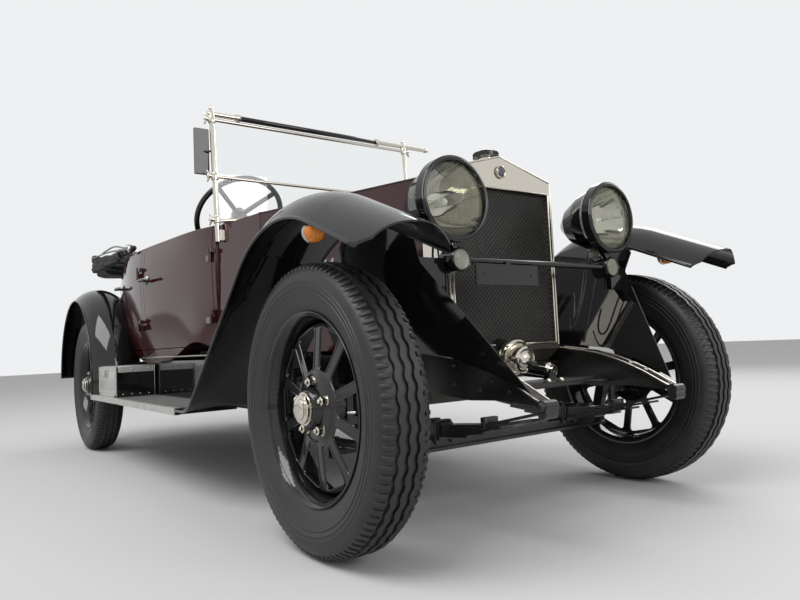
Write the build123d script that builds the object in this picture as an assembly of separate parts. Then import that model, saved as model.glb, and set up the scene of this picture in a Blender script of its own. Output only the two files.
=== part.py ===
from build123d import *
import math
import os

os.makedirs("parts", exist_ok=True)

# main sizes of the car, mm; nose to +X, left side +Y, ground at Z = 0
front_axle_x = 1543.5
wheelbase = 2950
track = 1386
half_track = track / 2
tyre_r = 405
tyre_w = 154
rim_lip_r = 268
hub_z = tyre_r

# wings, running boards
wing_out_y = 815
wing_in_y = 545
board_top_z = 362
board_t = 24
sheet_t = 4
bead_r = 5

# radiator and bonnet
rad_front_x = 42
rad_back_x = -88
rad_half_w = 250
rad_eave_z = 1131
rad_apex_z = 1200
rad_bottom_z = 486
core_bottom_z = 552
core_top_z = 1086
core_half_w = 234
bonnet_rear_x = -880
bonnet_bottom_z = 558
bonnet_t = 5
scuttle_half_w = 475
scuttle_eave_z = 1140
scuttle_apex_z = 1206

# body shell
screen_x = -1225
wall_t = 32
body_top_z = 1140
door_bottom_z = 605
front_door_x = (-1985, -1252)
rear_door_x = (-2480, -2035)
door_gap = 4

# steering
kingpin_y = 585
kingpin_r = 11
steer_arm_x = -150
steer_arm_y = kingpin_y
tie_rod_z = 250
tie_pin_r = 7
running_fit = 0.05
wheel_centre = (-1440, -330, 1240)
column_angle = 42


def car(x):
    return front_axle_x + x


def block(x0, x1, y0, y1, z0, z1):
    middle = Pos(car((x0 + x1) / 2), (y0 + y1) / 2, (z0 + z1) / 2)
    return middle * Box(abs(x1 - x0), abs(y1 - y0), abs(z1 - z0))


def rod(p, q, r):
    a = Vector(car(p[0]), p[1], p[2])
    b = Vector(car(q[0]), q[1], q[2])
    d = b - a
    return Plane(origin=a, z_dir=d) * Cylinder(r, d.length, align=(Align.CENTER, Align.CENTER, Align.MIN))


def upright(x, y, z0, z1, r):
    return rod((x, y, z0), (x, y, z1), r)


def across(x, y0, y1, z, r):
    return rod((x, y0, z), (x, y1, z), r)


# flat face square to the car's length, from (y, z) points
def cross_face(x, pts):
    return make_face(Plane(origin=(car(x), 0, 0), x_dir=(0, 1, 0), z_dir=(1, 0, 0)) * Polyline(*pts, close=True))


def side_plate(points, y0, y1):
    pts = [(car(x), z) for x, z in points]
    face = make_face(Plane.XZ * Polyline(*pts, close=True))
    return Pos(0, max(y0, y1), 0) * extrude(face, abs(y1 - y0), dir=(0, -1, 0))


def joined(shapes):
    result = shapes[0]
    for s in shapes[1:]:
        result = result + s
    return result


def mirrored(shape):
    return mirror(shape, Plane.XZ)


def save(shape, name):
    if isinstance(shape, list):
        solids = []
        for s in shape:
            solids += s.solids()
        shape = Compound(children=solids)
    export_step(shape, "parts/" + name + ".step")


# turned profile in the plane of radius and width, round the wheel's own Y axis
def turned(points, x, y):
    face = make_face(Polyline(*[(r, w) for r, w in points], close=True))
    solid = revolve(face, Axis.Y)
    return Pos(car(x), y, hub_z) * solid


# wheels and tyres
wheels = [
    # name, x, y, outward sign, turned by
    ("fl", 0, half_track, 1, 7),
    ("fr", 0, -half_track, -1, 0),
    ("rl", -wheelbase, half_track, 1, 13),
    ("rr", -wheelbase, -half_track, -1, 4),
]
tyre_half = tyre_w / 2
bead_seat_r = 256
tyre_profile = [
    (bead_seat_r, -50), (bead_seat_r, 50), (268.5, 50), (276, 56), (300, 67), (330, 76), (352, tyre_half),
    (375, 73), (391, 65), (400, 52), (404, 26), (tyre_r, 0),
    (404, -26), (400, -52), (391, -65), (375, -73), (352, -tyre_half), (330, -76), (300, -67), (276, -56),
    (268.5, -50),
]
rim_profile = [
    (rim_lip_r, 56), (rim_lip_r, 50.5), (bead_seat_r, 50.2), (bead_seat_r, 20), (246, 8), (246, -8),
    (bead_seat_r, -20), (bead_seat_r, -50.2), (rim_lip_r, -50.5), (rim_lip_r, -56), (252, -54), (236, -12),
    (214, 2), (206, 8), (206, 30), (212, 36), (240, 36), (252, 54),
]
disc_out_r = 226
hub_r = 88
spoke_count = 10
spoke_w = 30
nut_count = 5
nut_pcd_r = 72
nut_r = 10.5
hub_bore_r = 19.05
spindle_r = 19


def wheel_window():
    inner_r = 99
    outer_r = 205
    half_in = math.pi * inner_r / spoke_count - spoke_w / 2
    half_out = math.pi * outer_r / spoke_count - spoke_w / 2
    pts = [(-half_in, inner_r), (half_in, inner_r), (half_out, outer_r), (-half_out, outer_r)]
    face = make_face(Polyline(*pts, close=True))
    face = fillet(face.vertices().group_by(Axis.Y)[0], 14)
    face = fillet(face.vertices().group_by(Axis.Y)[-1], 24)
    return extrude(face, 60, both=True)


for name, x, y, out, turned_by in wheels:
    tyre = turned([(r, w) for r, w in tyre_profile], x, y)
    save(tyre, "tyre_" + name)

    rim = turned([(r, out * w) for r, w in rim_profile], x, y)
    disc_pts = [
        (hub_bore_r, -30), (62, -30), (hub_r, -6), (104, 4), (disc_out_r, 10), (disc_out_r, 30),
        (104, 26), (hub_r, 34), (60, 38), (52, 60), (44, 66), (hub_bore_r, 66),
    ]
    disc = turned([(r, out * w) for r, w in disc_pts], x, y)
    window = wheel_window()
    for i in range(spoke_count):
        turn = Pos(car(x), y, hub_z) * Rot(0, turned_by + (i + 0.5) * 360 / spoke_count, 0) * Rot(90, 0, 0)
        disc = disc - turn * window
    nuts = []
    for i in range(nut_count):
        a = math.radians(90 - turned_by + i * 360 / nut_count)
        nx = x + nut_pcd_r * math.cos(a)
        nz = hub_z + nut_pcd_r * math.sin(a)
        nuts.append(rod((nx, y + out * 30, nz), (nx, y + out * 54, nz), nut_r))
    cap = rod((x, y + out * 65, hub_z), (x, y + out * 78, hub_z), 40)
    cap_end = rod((x, y + out * 77, hub_z), (x, y + out * 86, hub_z), 28)
    wheel = joined([rim, disc] + nuts + [cap, cap_end])
    save(wheel, "wheel_" + name)

# steering knuckles, tie rod
for name, side in (("left", 1), ("right", -1)):
    y_pin = side * kingpin_y
    pin = rod((0, y_pin, hub_z - 62), (0, y_pin, hub_z + 62), kingpin_r)
    top_lug = rod((0, y_pin, hub_z + 33), (0, y_pin, hub_z + 58), 24)
    low_lug = rod((0, y_pin, hub_z - 58), (0, y_pin, hub_z - 33), 24)
    back = block(-22, 22, side * (kingpin_y + 30), side * (kingpin_y + 50), hub_z - 58, hub_z + 58)
    web_top = block(-18, 18, side * kingpin_y, side * (kingpin_y + 40), hub_z + 34, hub_z + 56)
    web_low = block(-18, 18, side * kingpin_y, side * (kingpin_y + 40), hub_z - 56, hub_z - 34)
    spindle = rod((0, side * (kingpin_y + 45), hub_z), (0, side * (half_track + 62), hub_z), spindle_r)
    arm = rod((0, y_pin, tie_rod_z + 34), (steer_arm_x, side * steer_arm_y, tie_rod_z + 34), 13)
    eye = upright(steer_arm_x, side * steer_arm_y, tie_rod_z + 22, tie_rod_z + 46, 18)
    ball_pin = upright(steer_arm_x, side * steer_arm_y, tie_rod_z - 20, tie_rod_z + 30, tie_pin_r)
    drop = rod((0, y_pin, hub_z - 60), (0, y_pin, tie_rod_z + 22), 15)
    knuckle = joined([pin, top_lug, low_lug, back, web_top, web_low, spindle, drop, arm, eye, ball_pin])
    save(knuckle, "knuckle_" + name)

tie_rod = rod((steer_arm_x, -steer_arm_y, tie_rod_z), (steer_arm_x, steer_arm_y, tie_rod_z), 11)
for side in (1, -1):
    tie_rod = tie_rod + upright(steer_arm_x, side * steer_arm_y, tie_rod_z - 16, tie_rod_z + 20.5, 17)
    tie_bore = upright(steer_arm_x, side * steer_arm_y, tie_rod_z - 30, tie_rod_z + 30, tie_pin_r + running_fit)
    tie_rod = tie_rod - tie_bore
save(tie_rod, "tie_rod")

# front axle
beam_y = kingpin_y - 75
beam_z0 = 235
beam_z1 = 273
spring_seat_z = 280
axle = joined([
    block(-24, 24, -beam_y, beam_y, beam_z0, beam_z0 + 9),
    block(-24, 24, -beam_y, beam_y, beam_z1 - 9, beam_z1),
    block(-6, 6, -beam_y, beam_y, beam_z0, beam_z1),
])
for side in (1, -1):
    slope = [
        (beam_y - 30, beam_z0), (beam_y - 30, beam_z1), (kingpin_y - 50, hub_z + 20), (kingpin_y, hub_z + 24),
        (kingpin_y, hub_z - 26), (kingpin_y - 33, hub_z - 29),
    ]
    axle = axle + extrude(cross_face(-19, [(side * y, z) for y, z in slope]), 38, dir=(1, 0, 0))
    axle = axle + upright(0, side * kingpin_y, hub_z - 27, hub_z + 27, 25)
    axle = axle - upright(0, side * kingpin_y, hub_z - 70, hub_z + 70, kingpin_r + running_fit)
    axle = axle + block(-45, 45, side * 295 - 32, side * 295 + 32, beam_z1 - 2, spring_seat_z)
front_axle = axle

# chassis frame
rail_top_z = 540
rail_h = 115
rail_t = 6
rail_flange = 46
frame_rear_x = -3330
rack_x = -3258
rack_z = 490
rack_hole_r = 6.5
rail_outline = [
    (-560, rail_top_z), (10, 533), (156, 519), (260, 490), (350, 455), (420, 418), (452, 402),
    (452, 388), (400, 392), (300, 400), (160, 395), (0, 412), (-200, 425), (-560, rail_top_z - rail_h),
]
rear_outline = [
    (-560, rail_top_z), (-560, rail_top_z - rail_h), (-2300, rail_top_z - rail_h), (-2560, 495), (-2960, 510),
    (-3200, 480), (frame_rear_x, 440), (frame_rear_x, 478), (-3200, 540), (-2960, 585), (-2560, 578),
    (-2300, rail_top_z),
]
frame_bits = []
for side in (1, -1):
    y_out = side * 298
    frame_bits.append(side_plate(rail_outline, y_out, y_out - side * rail_t))
    frame_bits.append(side_plate(rear_outline, side * 345, side * (345 - rail_t)))
    top = [(-560, rail_top_z), (10, 533), (156, 519), (260, 490), (350, 455), (420, 418), (452, 402), (452, 395),
           (420, 410), (350, 447), (260, 482), (156, 511), (10, 525), (-560, rail_top_z - 8)]
    frame_bits.append(side_plate(top, side * 318, side * 272))
    low = [(-2300, rail_top_z - 8), (-2300, rail_top_z), (-560, rail_top_z), (-560, rail_top_z - 8)]
    frame_bits.append(side_plate(low, side * 345, side * 299))
    under = [(-2300, rail_top_z - rail_h), (-560, rail_top_z - rail_h), (-560, rail_top_z - rail_h + 8),
             (-2300, rail_top_z - rail_h + 8)]
    frame_bits.append(side_plate(under, side * 345, side * 299))
    frame_bits.append(block(-600, -520, side * 292, side * 345, rail_top_z - rail_h, rail_top_z))
    frame_bits.append(rod((458, side * 270, 392), (458, side * 320, 392), 17))
cradle_top_z = 385
cradle = [
    (-341, 500), (-150, 500), (-130, cradle_top_z), (130, cradle_top_z), (150, 500), (341, 500),
    (341, 468), (172, 468), (150, 353), (-150, 353), (-172, 468), (-341, 468),
]
for x in (-1340, -2150):
    frame_bits.append(extrude(cross_face(x - 20, cradle), 40, dir=(1, 0, 0)))
engine_tube = rod((-190, -295, 446), (-190, 295, 446), 24)
frame_bits.append(engine_tube)
frame_bits.append(block(-75, 10, -294, 294, rad_bottom_z - 8, rad_bottom_z))
frame_bits.append(rod((-3185, -341, 515), (-3185, 341, 515), 14))
frame_bits.append(rod((210, -295, 426), (210, 295, 426), 15))
frame_solid = joined(frame_bits) - rod((rack_x, -400, rack_z), (rack_x, 400, rack_z), rack_hole_r)
save(frame_solid, "chassis_frame")

# leaf springs


def leaf_pack(x_front, z_front, x_mid, z_mid, x_rear, z_rear, leaves, y, half_w):
    bits = []
    leaf = 7
    for i in range(leaves):
        k = 1 - i * 0.8 / leaves
        xf = x_mid + (x_front - x_mid) * k
        xr = x_mid + (x_rear - x_mid) * k
        zf = z_mid + (z_front - z_mid) * k * k - i * leaf
        zr = z_mid + (z_rear - z_mid) * k * k - i * leaf
        zc = z_mid - i * leaf
        p0 = (car(xf), zf)
        p1 = (car((xf + x_mid) / 2), zc + (zf - zc) * 0.25)
        p2 = (car(x_mid), zc)
        p3 = (car((xr + x_mid) / 2), zc + (zr - zc) * 0.25)
        p4 = (car(xr), zr)
        up = Polyline(p0, p1, p2, p3, p4)
        dn = Polyline((p4[0], p4[1] + leaf), (p3[0], p3[1] + leaf), (p2[0], p2[1] + leaf),
                      (p1[0], p1[1] + leaf), (p0[0], p0[1] + leaf))
        edge0 = Line(p4, (p4[0], p4[1] + leaf))
        edge1 = Line((p0[0], p0[1] + leaf), p0)
        face = make_face(Plane.XZ * (up + edge0 + dn + edge1))
        bits.append(Pos(0, y + half_w, 0) * extrude(face, 2 * half_w, dir=(0, -1, 0)))
    return joined(bits)


springs = []
for side in (1, -1):
    y = side * 295
    s = leaf_pack(450, 372, 0, 308, -470, 372, 5, y, 24)
    s = s + across(458, y - 24, y + 24, 374, 15) - across(458, y - 30, y + 30, 392, 17)
    s = s + block(-40, 40, y - 30, y + 30, spring_seat_z, 322)
    s = s + rod((-470, y - 24, 378), (-470, y + 24, 378), 14)
    s = s + block(-478, -462, y - 22, y + 22, 378, 425)
    springs.append(s)
    y = side * 430
    r = leaf_pack(-2330, 470, -wheelbase, 484, -3300, 470, 6, y, 26)
    r = r + rod((-2330, y - 30, 474), (-2330, y + 30, 474), 18)
    r = r + rod((-3300, y - 30, 474), (-3300, y + 30, 474), 18)
    r = r + block(-2345, -2315, side * 345, side * 404, 458, 490)
    r = r + block(-3315, -3285, side * 345, side * 404, 452, 466)
    springs.append(r)
save(springs, "leaf_springs")

# rear axle, torque tube
rear = rod((-wheelbase, -560, hub_z), (-wheelbase, 560, hub_z), 36)
rear = rear + Pos(car(-wheelbase), 0, hub_z) * Sphere(125)
rear = rear + rod((-wheelbase, 0, hub_z), (-1626, 0, 455), 32)
for side in (1, -1):
    rear = rear + across(-wheelbase, side * 555, side * (half_track + 62), hub_z, spindle_r)
    rear = rear + rod((-wheelbase, side * 560, hub_z), (-wheelbase, side * 600, hub_z), 150)
    rear = rear + block(-wheelbase - 45, -wheelbase + 45, side * 398, side * 462, hub_z - 30, 449)
rear = rear - springs[1] - springs[3]
save([front_axle, rear], "axles")

# engine and gearbox as plain blocks, exhaust, tank
engine = block(-790, -150, -150, 150, 470, 1000) + block(-740, -240, -125, 125, 350, 475)
engine = engine + block(-215, -165, -60, 60, 446, 472) - engine_tube
gearbox = block(-1300, -789, -105, 105, 400, 640) + rod((-1299, 0, 455), (-1640, 0, 455), 42)
gearbox = gearbox + block(-1355, -1325, -60, 60, cradle_top_z, 430) - rear
save(engine + gearbox, "engine_block")

exhaust = rod((-700, -215, 460), (-1500, -215, 330), 24)
exhaust = exhaust + rod((-1480, -215, 332), (-2120, -215, 332), 62)
exhaust = exhaust + rod((-2100, -215, 332), (-2480, -215, 332), 22)
exhaust = exhaust + block(-720, -680, -240, -150, 455, 500)
exhaust = exhaust + block(-2158, -2142, -224, -206, 345, 468)
save(exhaust, "exhaust")

tank = block(-3300, -3090, -310, 310, 332, 502)
tank = fillet(tank.edges().filter_by(Axis.Y), 55) - frame_solid
save(tank, "fuel_tank")

# radiator


def gable(x, half_w, z_low, z_eave, z_top):
    return cross_face(x, [(-half_w, z_low), (half_w, z_low), (half_w, z_eave), (0, z_top), (-half_w, z_eave)])


gable_face = gable(rad_back_x, rad_half_w, core_bottom_z - 20, rad_eave_z, rad_apex_z)
shell = extrude(gable_face, rad_front_x - rad_back_x)
shell = shell - block(rad_back_x - 5, rad_front_x + 5, -core_half_w, core_half_w, core_bottom_z, core_top_z)
apron = loft([
    make_face(Plane(origin=(car(0), 0, core_bottom_z - 20)) * Rectangle(84, 2 * rad_half_w)),
    make_face(Plane(origin=(car(-30), 0, rad_bottom_z)) * Rectangle(70, 2 * rad_half_w - 60)),
])
shell = shell + apron
neck = rod((-23, 0, 1176), (-23, 0, 1208), 30)
badge = rod((rad_front_x - 2, 0, 1143), (rad_front_x + 5, 0, 1143), 19)
hinge_front = (rad_back_x, 0, rad_apex_z - 4.5)
hinge_rear = (bonnet_rear_x, 0, scuttle_apex_z - 3)
hinge_r = 4
shell = joined([shell, neck, badge, rod(hinge_front, hinge_rear, hinge_r)])
radiator = shell
save(shell, "radiator_shell")
core = block(rad_back_x + 12, rad_front_x - 14, -core_half_w, core_half_w, core_bottom_z, core_top_z)
save(core, "radiator_core")
cap = rod((-23, 0, 1208), (-23, 0, 1226), 44) + rod((-23, 0, 1226), (-23, 0, 1234), 22)
save(cap, "filler_cap")

# bonnet halves, scuttle
bonnet_front_x = rad_back_x - 5
ridge_gap = 9
tab_half_t = 1.2


def top_section(x, half_w, z_eave, z_top):
    t = bonnet_t
    drop = ridge_gap * (z_top - z_eave) / half_w
    return cross_face(x, [(half_w, z_eave), (ridge_gap, z_top - drop), (ridge_gap, z_top - drop - t),
                          (half_w - 1.3 * t, z_eave - t), (half_w, z_eave - t)])


def side_section(x, half_w, z_eave):
    t = bonnet_t
    z_low = bonnet_bottom_z
    z_high = z_eave - t - 1
    return cross_face(x, [(half_w, z_low), (half_w, z_high), (half_w - t, z_high), (half_w - t, z_low)])


bonnet_back_x = bonnet_rear_x + 4
top_panel = loft([
    top_section(bonnet_back_x, scuttle_half_w, scuttle_eave_z, scuttle_apex_z),
    top_section(bonnet_front_x, rad_half_w, rad_eave_z, rad_apex_z),
], ruled=True)
side_panel = loft([
    side_section(bonnet_back_x, scuttle_half_w, scuttle_eave_z),
    side_section(bonnet_front_x, rad_half_w, rad_eave_z),
], ruled=True)
louvre_n = 14
louvre_pitch = 36
side_run = bonnet_front_x - bonnet_rear_x
for i in range(louvre_n):
    lx = bonnet_front_x - 150 - i * louvre_pitch
    k = (bonnet_front_x - lx) / side_run
    ly = rad_half_w + (scuttle_half_w - rad_half_w) * k
    side_panel = side_panel - block(lx - 5, lx + 5, ly - 30, ly + 30, 690, 900)
save([side_panel, mirrored(side_panel)], "bonnet_sides")
ridge_slope = (hinge_rear[2] - hinge_front[2]) / (hinge_rear[0] - hinge_front[0])
tops = {1: [top_panel], -1: [mirrored(top_panel)]}
for i in range(6):
    xa = bonnet_front_x - 18 - i * 125
    xb = xa - 118
    za = hinge_front[2] + (xa - hinge_front[0]) * ridge_slope
    zb = hinge_front[2] + (xb - hinge_front[0]) * ridge_slope
    side = 1 if i % 2 == 0 else -1
    tops[side].append(rod((xa, 0, za), (xb, 0, zb), 7))
    zm = (za + zb) / 2
    tops[side].append(block(xa, xb, 0, side * (ridge_gap + 1.5), zm - tab_half_t, zm + tab_half_t))
for side, name in ((1, "left"), (-1, "right")):
    top = joined(tops[side]) - rod(hinge_front, hinge_rear, hinge_r + running_fit)
    save(top, "bonnet_top_" + name)

outer = loft([
    gable(screen_x, 528, 540, 1140, 1212),
    gable(bonnet_rear_x, scuttle_half_w, 540, scuttle_eave_z, scuttle_apex_z),
], ruled=True)
inner = loft([
    gable(screen_x - 1, 508, 575, 1120, 1192),
    gable(bonnet_rear_x - 20, 458, 575, 1118, 1186),
], ruled=True)
tunnel = block(-1350, -860, -112, 112, 400, 648)
ca = math.radians(column_angle)
wc = wheel_centre


def on_column(d):
    # a point on the steering column, d mm down from the wheel
    return (wc[0] + d * math.cos(ca), wc[1], wc[2] - d * math.sin(ca))


column_way = rod(on_column(100), on_column(960), 30)
scuttle = outer - inner - tunnel - column_way
save(scuttle, "scuttle")

# body shell and doors


def ring(x, low_w, wide_w, top_w, z_low, z_top):
    z_mid = z_low + 0.52 * (z_top - z_low)
    p = Plane(origin=(car(x), 0, 0), x_dir=(0, 1, 0), z_dir=(1, 0, 0))
    wires = Line((-low_w, z_low), (low_w, z_low))
    wires = wires + ThreePointArc((low_w, z_low), (wide_w, z_mid), (top_w, z_top))
    wires = wires + Line((top_w, z_top), (-top_w, z_top))
    wires = wires + ThreePointArc((-top_w, z_top), (-wide_w, z_mid), (-low_w, z_low))
    return make_face(p * wires)


body_rings = [
    # x, low, wide, top half widths, low z
    (-3360, 300, 372, 330, 700),
    (-3200, 400, 470, 440, 640),
    (-2900, 480, 556, 535, 608),
    (-2560, 560, 622, 612, 590),
    (-2200, 596, 655, 646, 540),
    (-1800, 580, 634, 622, 540),
    (screen_x, 500, 540, 528, 540),
]
outside = loft([ring(x, a, b, c, z, body_top_z) for x, a, b, c, z in body_rings])
inner_rings = []
for x, a, b, c, z in body_rings:
    if x == body_rings[0][0]:
        x = x + wall_t
    if x == body_rings[-1][0]:
        x = x + 2
    inner_rings.append(ring(x, a - wall_t, b - wall_t, c - wall_t, z + wall_t, body_top_z + 20))
inside = loft(inner_rings)
cabin = loft([ring(x, a - wall_t - 8, b - wall_t - 8, c - wall_t - 8, z + wall_t + 4, body_top_z + 40)
              for x, a, b, c, z in body_rings])
shell = outside - inside
front_open = block(screen_x - 4, screen_x + 5, -490, 490, 575, 1200)
shell = shell - front_open - tunnel
wing_cut = Pos(car(-2990), 0, 440) * Rot(90, 0, 0) * Cylinder(604, 2000)
doors = {}
for name, (x0, x1) in (("front", front_door_x), ("rear", rear_door_x)):
    zone = block(x0, x1, 300, 800, door_bottom_z, 1300)
    hole = block(x0 - door_gap, x1 + door_gap, 300, 800, door_bottom_z - door_gap, 1300)
    if name == "rear":
        zone = zone - wing_cut
        hole = hole - Pos(car(-2990), 0, 440) * Rot(90, 0, 0) * Cylinder(604 - door_gap, 2000)
    leaf = shell & zone
    doors[name] = leaf
    shell = shell - hole - mirrored(hole)
hinges = {"front": front_door_x[1], "rear": rear_door_x[1]}
hinge_y = {"front": 556, "rear": 668}
lug_run = {"front": 22, "rear": 38}
hinge_z = (700, 980)
hinge_pin_r = 4
for name, leaf in doors.items():
    xh = hinges[name]
    back_x = front_door_x[0] if name == "front" else rear_door_x[0]
    handle_x = back_x + 45
    side_y = 634 if name == "front" else 640
    grip = rod((handle_x, side_y - 20, 965), (handle_x, side_y + 52, 965), 8)
    grip = grip + rod((handle_x - 8, side_y + 48, 965), (handle_x + 125, side_y + 42, 965), 8)
    hy = hinge_y[name]
    knobs = [upright(xh, hy, z, z + 36, 8) for z in hinge_z]
    straps = [block(xh - 60, xh, hy - 30, hy + 3, z + 4, z + 32) for z in hinge_z]
    full = joined([leaf, grip] + knobs + straps)
    for z in hinge_z:
        full = full - upright(xh, hy, z - 5, z + 41, hinge_pin_r + running_fit)
        lug = upright(xh, hy, z + 36.5, z + 62, 8) + upright(xh, hy, z + 1, z + 40, hinge_pin_r)
        lug = lug + block(xh, xh + lug_run[name], hy - 28, hy + 3, z + 42, z + 58)
        shell = shell + lug + mirrored(lug)
    save(full, "door_" + name + "_left")
    save(mirrored(full), "door_" + name + "_right")
shell = shell - frame_solid
save(shell, "body_shell")

# dashboard, seats, folded hood
dash = (block(screen_x + 30, screen_x + 48, -515, 515, 950, 1100) & inner) - column_way
save(dash, "dashboard")

seats = []
for x0, half in ((-1790, 620), (-2640, 620)):
    cushion = block(x0 - 470, x0, -half, half, 700, 860)
    cushion = fillet(cushion.edges().filter_by(Axis.Y).group_by(Axis.Z)[-1], 50)
    base = block(x0 - 440, x0 - 30, -half + 15, half - 15, 608, 700)
    back = block(x0 - 560, x0 - 430, -half, half, 700, 1125)
    back = fillet(back.edges().filter_by(Axis.Y).group_by(Axis.Z)[-1], 50)
    seat = joined([cushion, base, back]) & cabin
    feet = [rod((x0 - d, y, 550), (x0 - d, y, 640), 22) for d in (70, 400) for y in (-420, 420)]
    seats.append(seat + (joined(feet) & inside))
save(seats, "seats")

hood_back = [
    (-3130, body_top_z), (-3400, body_top_z), (-3450, 1190), (-3430, 1290), (-3330, 1325), (-3180, 1300),
    (-3120, 1220),
]
hood = side_plate(hood_back, -610, 610)
hood_arm = [
    (-2140, 1147), (-2486, 1147), (-2486, body_top_z), (-3200, body_top_z), (-3200, 1270), (-2900, 1232),
    (-2300, 1182), (-2140, 1172),
]
for side in (1, -1):
    hood = hood + side_plate(hood_arm, side * 610, side * 682)
save(hood, "folded_hood")

# windscreen
post_y = 541
screen_top_z = 1655
rake = 45 / 595
post_top_x = screen_x


def on_screen(z):
    return post_top_x + (screen_top_z - z) * rake


posts = []
for side in (1, -1):
    posts.append(rod((on_screen(1060), side * post_y, 1060), (on_screen(1668), side * post_y, 1668), 12))
    posts.append(rod((on_screen(1660), side * post_y, 1660), (on_screen(1692), side * post_y, 1692), 7))
    posts.append(rod((on_screen(1154), side * post_y, 1154), (on_screen(1224), 0, 1224), 8))
posts.append(rod((on_screen(1224), 0, 1215), (on_screen(1224), 0, 1233), 8))
top_bar = across(on_screen(screen_top_z), -560, 710, screen_top_z, 11)
posts.append(top_bar)
for z, r in ((1360, 7), (1628, 8)):
    posts.append(rod((on_screen(z), -post_y, z), (on_screen(z), post_y, z), r))
for side in (1, -1):
    posts.append(block(-1200, -1162, side * 500, side * post_y, 1066, 1112))
frame_bars = joined(posts) - outer - outside
save(frame_bars, "screen_frame")

pane_w = post_y - 9
tilt = Plane(origin=(car(on_screen(1160)), 0, 1160), x_dir=(0, 1, 0), z_dir=(1, 0, rake))
lower_pts = [(-pane_w, -1), (0, 69), (pane_w, -1), (pane_w, 197), (-pane_w, 197)]
lower = tilt * extrude(make_face(Polyline(*lower_pts, close=True)), 2.5, both=True)
upper = tilt * Pos(0, 335, 0) * Box(2 * pane_w, 264, 5)
save([lower - frame_bars, upper - frame_bars], "screen_glass")

mirror_box = block(screen_x - 21, screen_x - 3, -post_y - 78, -post_y - 14, 1374, 1582)
arm = rod((on_screen(1478), -post_y - 3, 1478), (screen_x - 8, -post_y - 40, 1478), 5)
save(mirror_box + arm - frame_bars, "mirror")

# wings


def arch_points(dome, half_w):
    r = (half_w * half_w + dome * dome) / (2 * dome)
    a = math.asin(half_w / r)
    ri = r - sheet_t
    c = dome - r
    return r, ri, a, c


def arch_face(plane, dome, half_w):
    r, ri, a, c = arch_points(dome, half_w)
    out_l = (-r * math.sin(a), c + r * math.cos(a))
    out_r = (r * math.sin(a), c + r * math.cos(a))
    in_l = (-ri * math.sin(a), c + ri * math.cos(a))
    in_r = (ri * math.sin(a), c + ri * math.cos(a))
    wires = ThreePointArc(out_l, (0, c + r), out_r) + Line(out_r, in_r)
    wires = wires + ThreePointArc(in_r, (0, c + ri), in_l) + Line(in_l, out_l)
    return make_face(plane * wires)


wing_mid_y = (wing_out_y + wing_in_y) / 2
wing_half = (wing_out_y - wing_in_y) / 2
front_dome = 82
foot_dome = 14
nose_angle = math.radians(23.2)
tail_angle = math.radians(41.5)
arch_r = 425
nose_run = 325
foot_r = 150
foot_z = board_top_z - 8


def at(x, z):
    return Vector(car(x), wing_mid_y, z)


n0 = (456, 763)
n1 = (n0[0] - nose_run * math.cos(nose_angle), n0[1] + nose_run * math.sin(nose_angle))
arc_c = (n1[0] - arch_r * math.sin(nose_angle), n1[1] - arch_r * math.cos(nose_angle))
n2 = (arc_c[0] - arch_r * math.sin(tail_angle), arc_c[1] + arch_r * math.cos(tail_angle))
foot_run = (n2[1] - foot_z) / math.sin(tail_angle) - foot_r * math.tan(tail_angle / 2)
n3 = (n2[0] - foot_run * math.cos(tail_angle), n2[1] - foot_run * math.sin(tail_angle))
foot_c = (n3[0] - foot_r * math.sin(tail_angle), n3[1] + foot_r * math.cos(tail_angle))
n4 = (foot_c[0], foot_z)
n5 = (-960, foot_z)
arc_mid = (arc_c[0] - arch_r * math.sin((tail_angle - nose_angle) / 2),
           arc_c[1] + arch_r * math.cos((tail_angle - nose_angle) / 2))
foot_mid = (foot_c[0] + foot_r * math.sin(tail_angle / 2), foot_c[1] - foot_r * math.cos(tail_angle / 2))


def cross_plane(x, z, angle):
    # plane square to the wing's path; local x across the car, local y away from the wheel
    return Plane(origin=at(x, z), x_dir=(0, -1, 0), z_dir=(-math.cos(angle), 0, math.sin(angle)))


nose_path = Line(at(*n0), at(*n1)) + ThreePointArc(at(*n1), at(*arc_mid), at(*n2))
start = cross_plane(n0[0], n0[1], nose_angle)
front_part = sweep(arch_face(start, front_dome, wing_half), path=nose_path)
run_a = cross_plane(n2[0], n2[1], -tail_angle)
run_b = cross_plane(n3[0], n3[1], -tail_angle)
run_faces = [arch_face(run_a, front_dome, wing_half), arch_face(run_b, foot_dome, wing_half)]
run_part = loft(run_faces, ruled=True)
foot_path = ThreePointArc(at(*n3), at(*foot_mid), at(*n4)) + Line(at(*n4), at(*n5))
foot_part = sweep(arch_face(run_b, foot_dome, wing_half), path=foot_path)
wing = front_part + run_part + foot_part
lip_path = nose_path + Line(at(*n2), at(*n3)) + foot_path
for side in (1, -1):
    bead_path = Pos(0, side * wing_half, 0) * lip_path
    bead_plane = Plane(origin=at(*n0) + Vector(0, side * wing_half, 0), z_dir=start.z_dir)
    wing = wing + sweep(bead_plane * Circle(bead_r), path=bead_path)
nose_cut = extrude(make_face(Plane.XY * Polyline(
    (car(300), wing_out_y + 30), (car(520), wing_out_y + 30), (car(520), wing_in_y - 30),
    (car(330), wing_in_y - 30), (car(420), wing_in_y + 20), (car(452), wing_mid_y - 40), (car(457), wing_mid_y + 20),
    (car(420), wing_out_y - 22), (car(360), wing_out_y + 3), close=True)), 1200)
wing = wing - nose_cut

# inner side panel from the wing's inner edge down to the frame
val_slope = 0.408


def val_y(z):
    return 322 + (z - 424) * val_slope


def val_point(x, z):
    return Vector(car(x), val_y(z), z)


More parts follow.
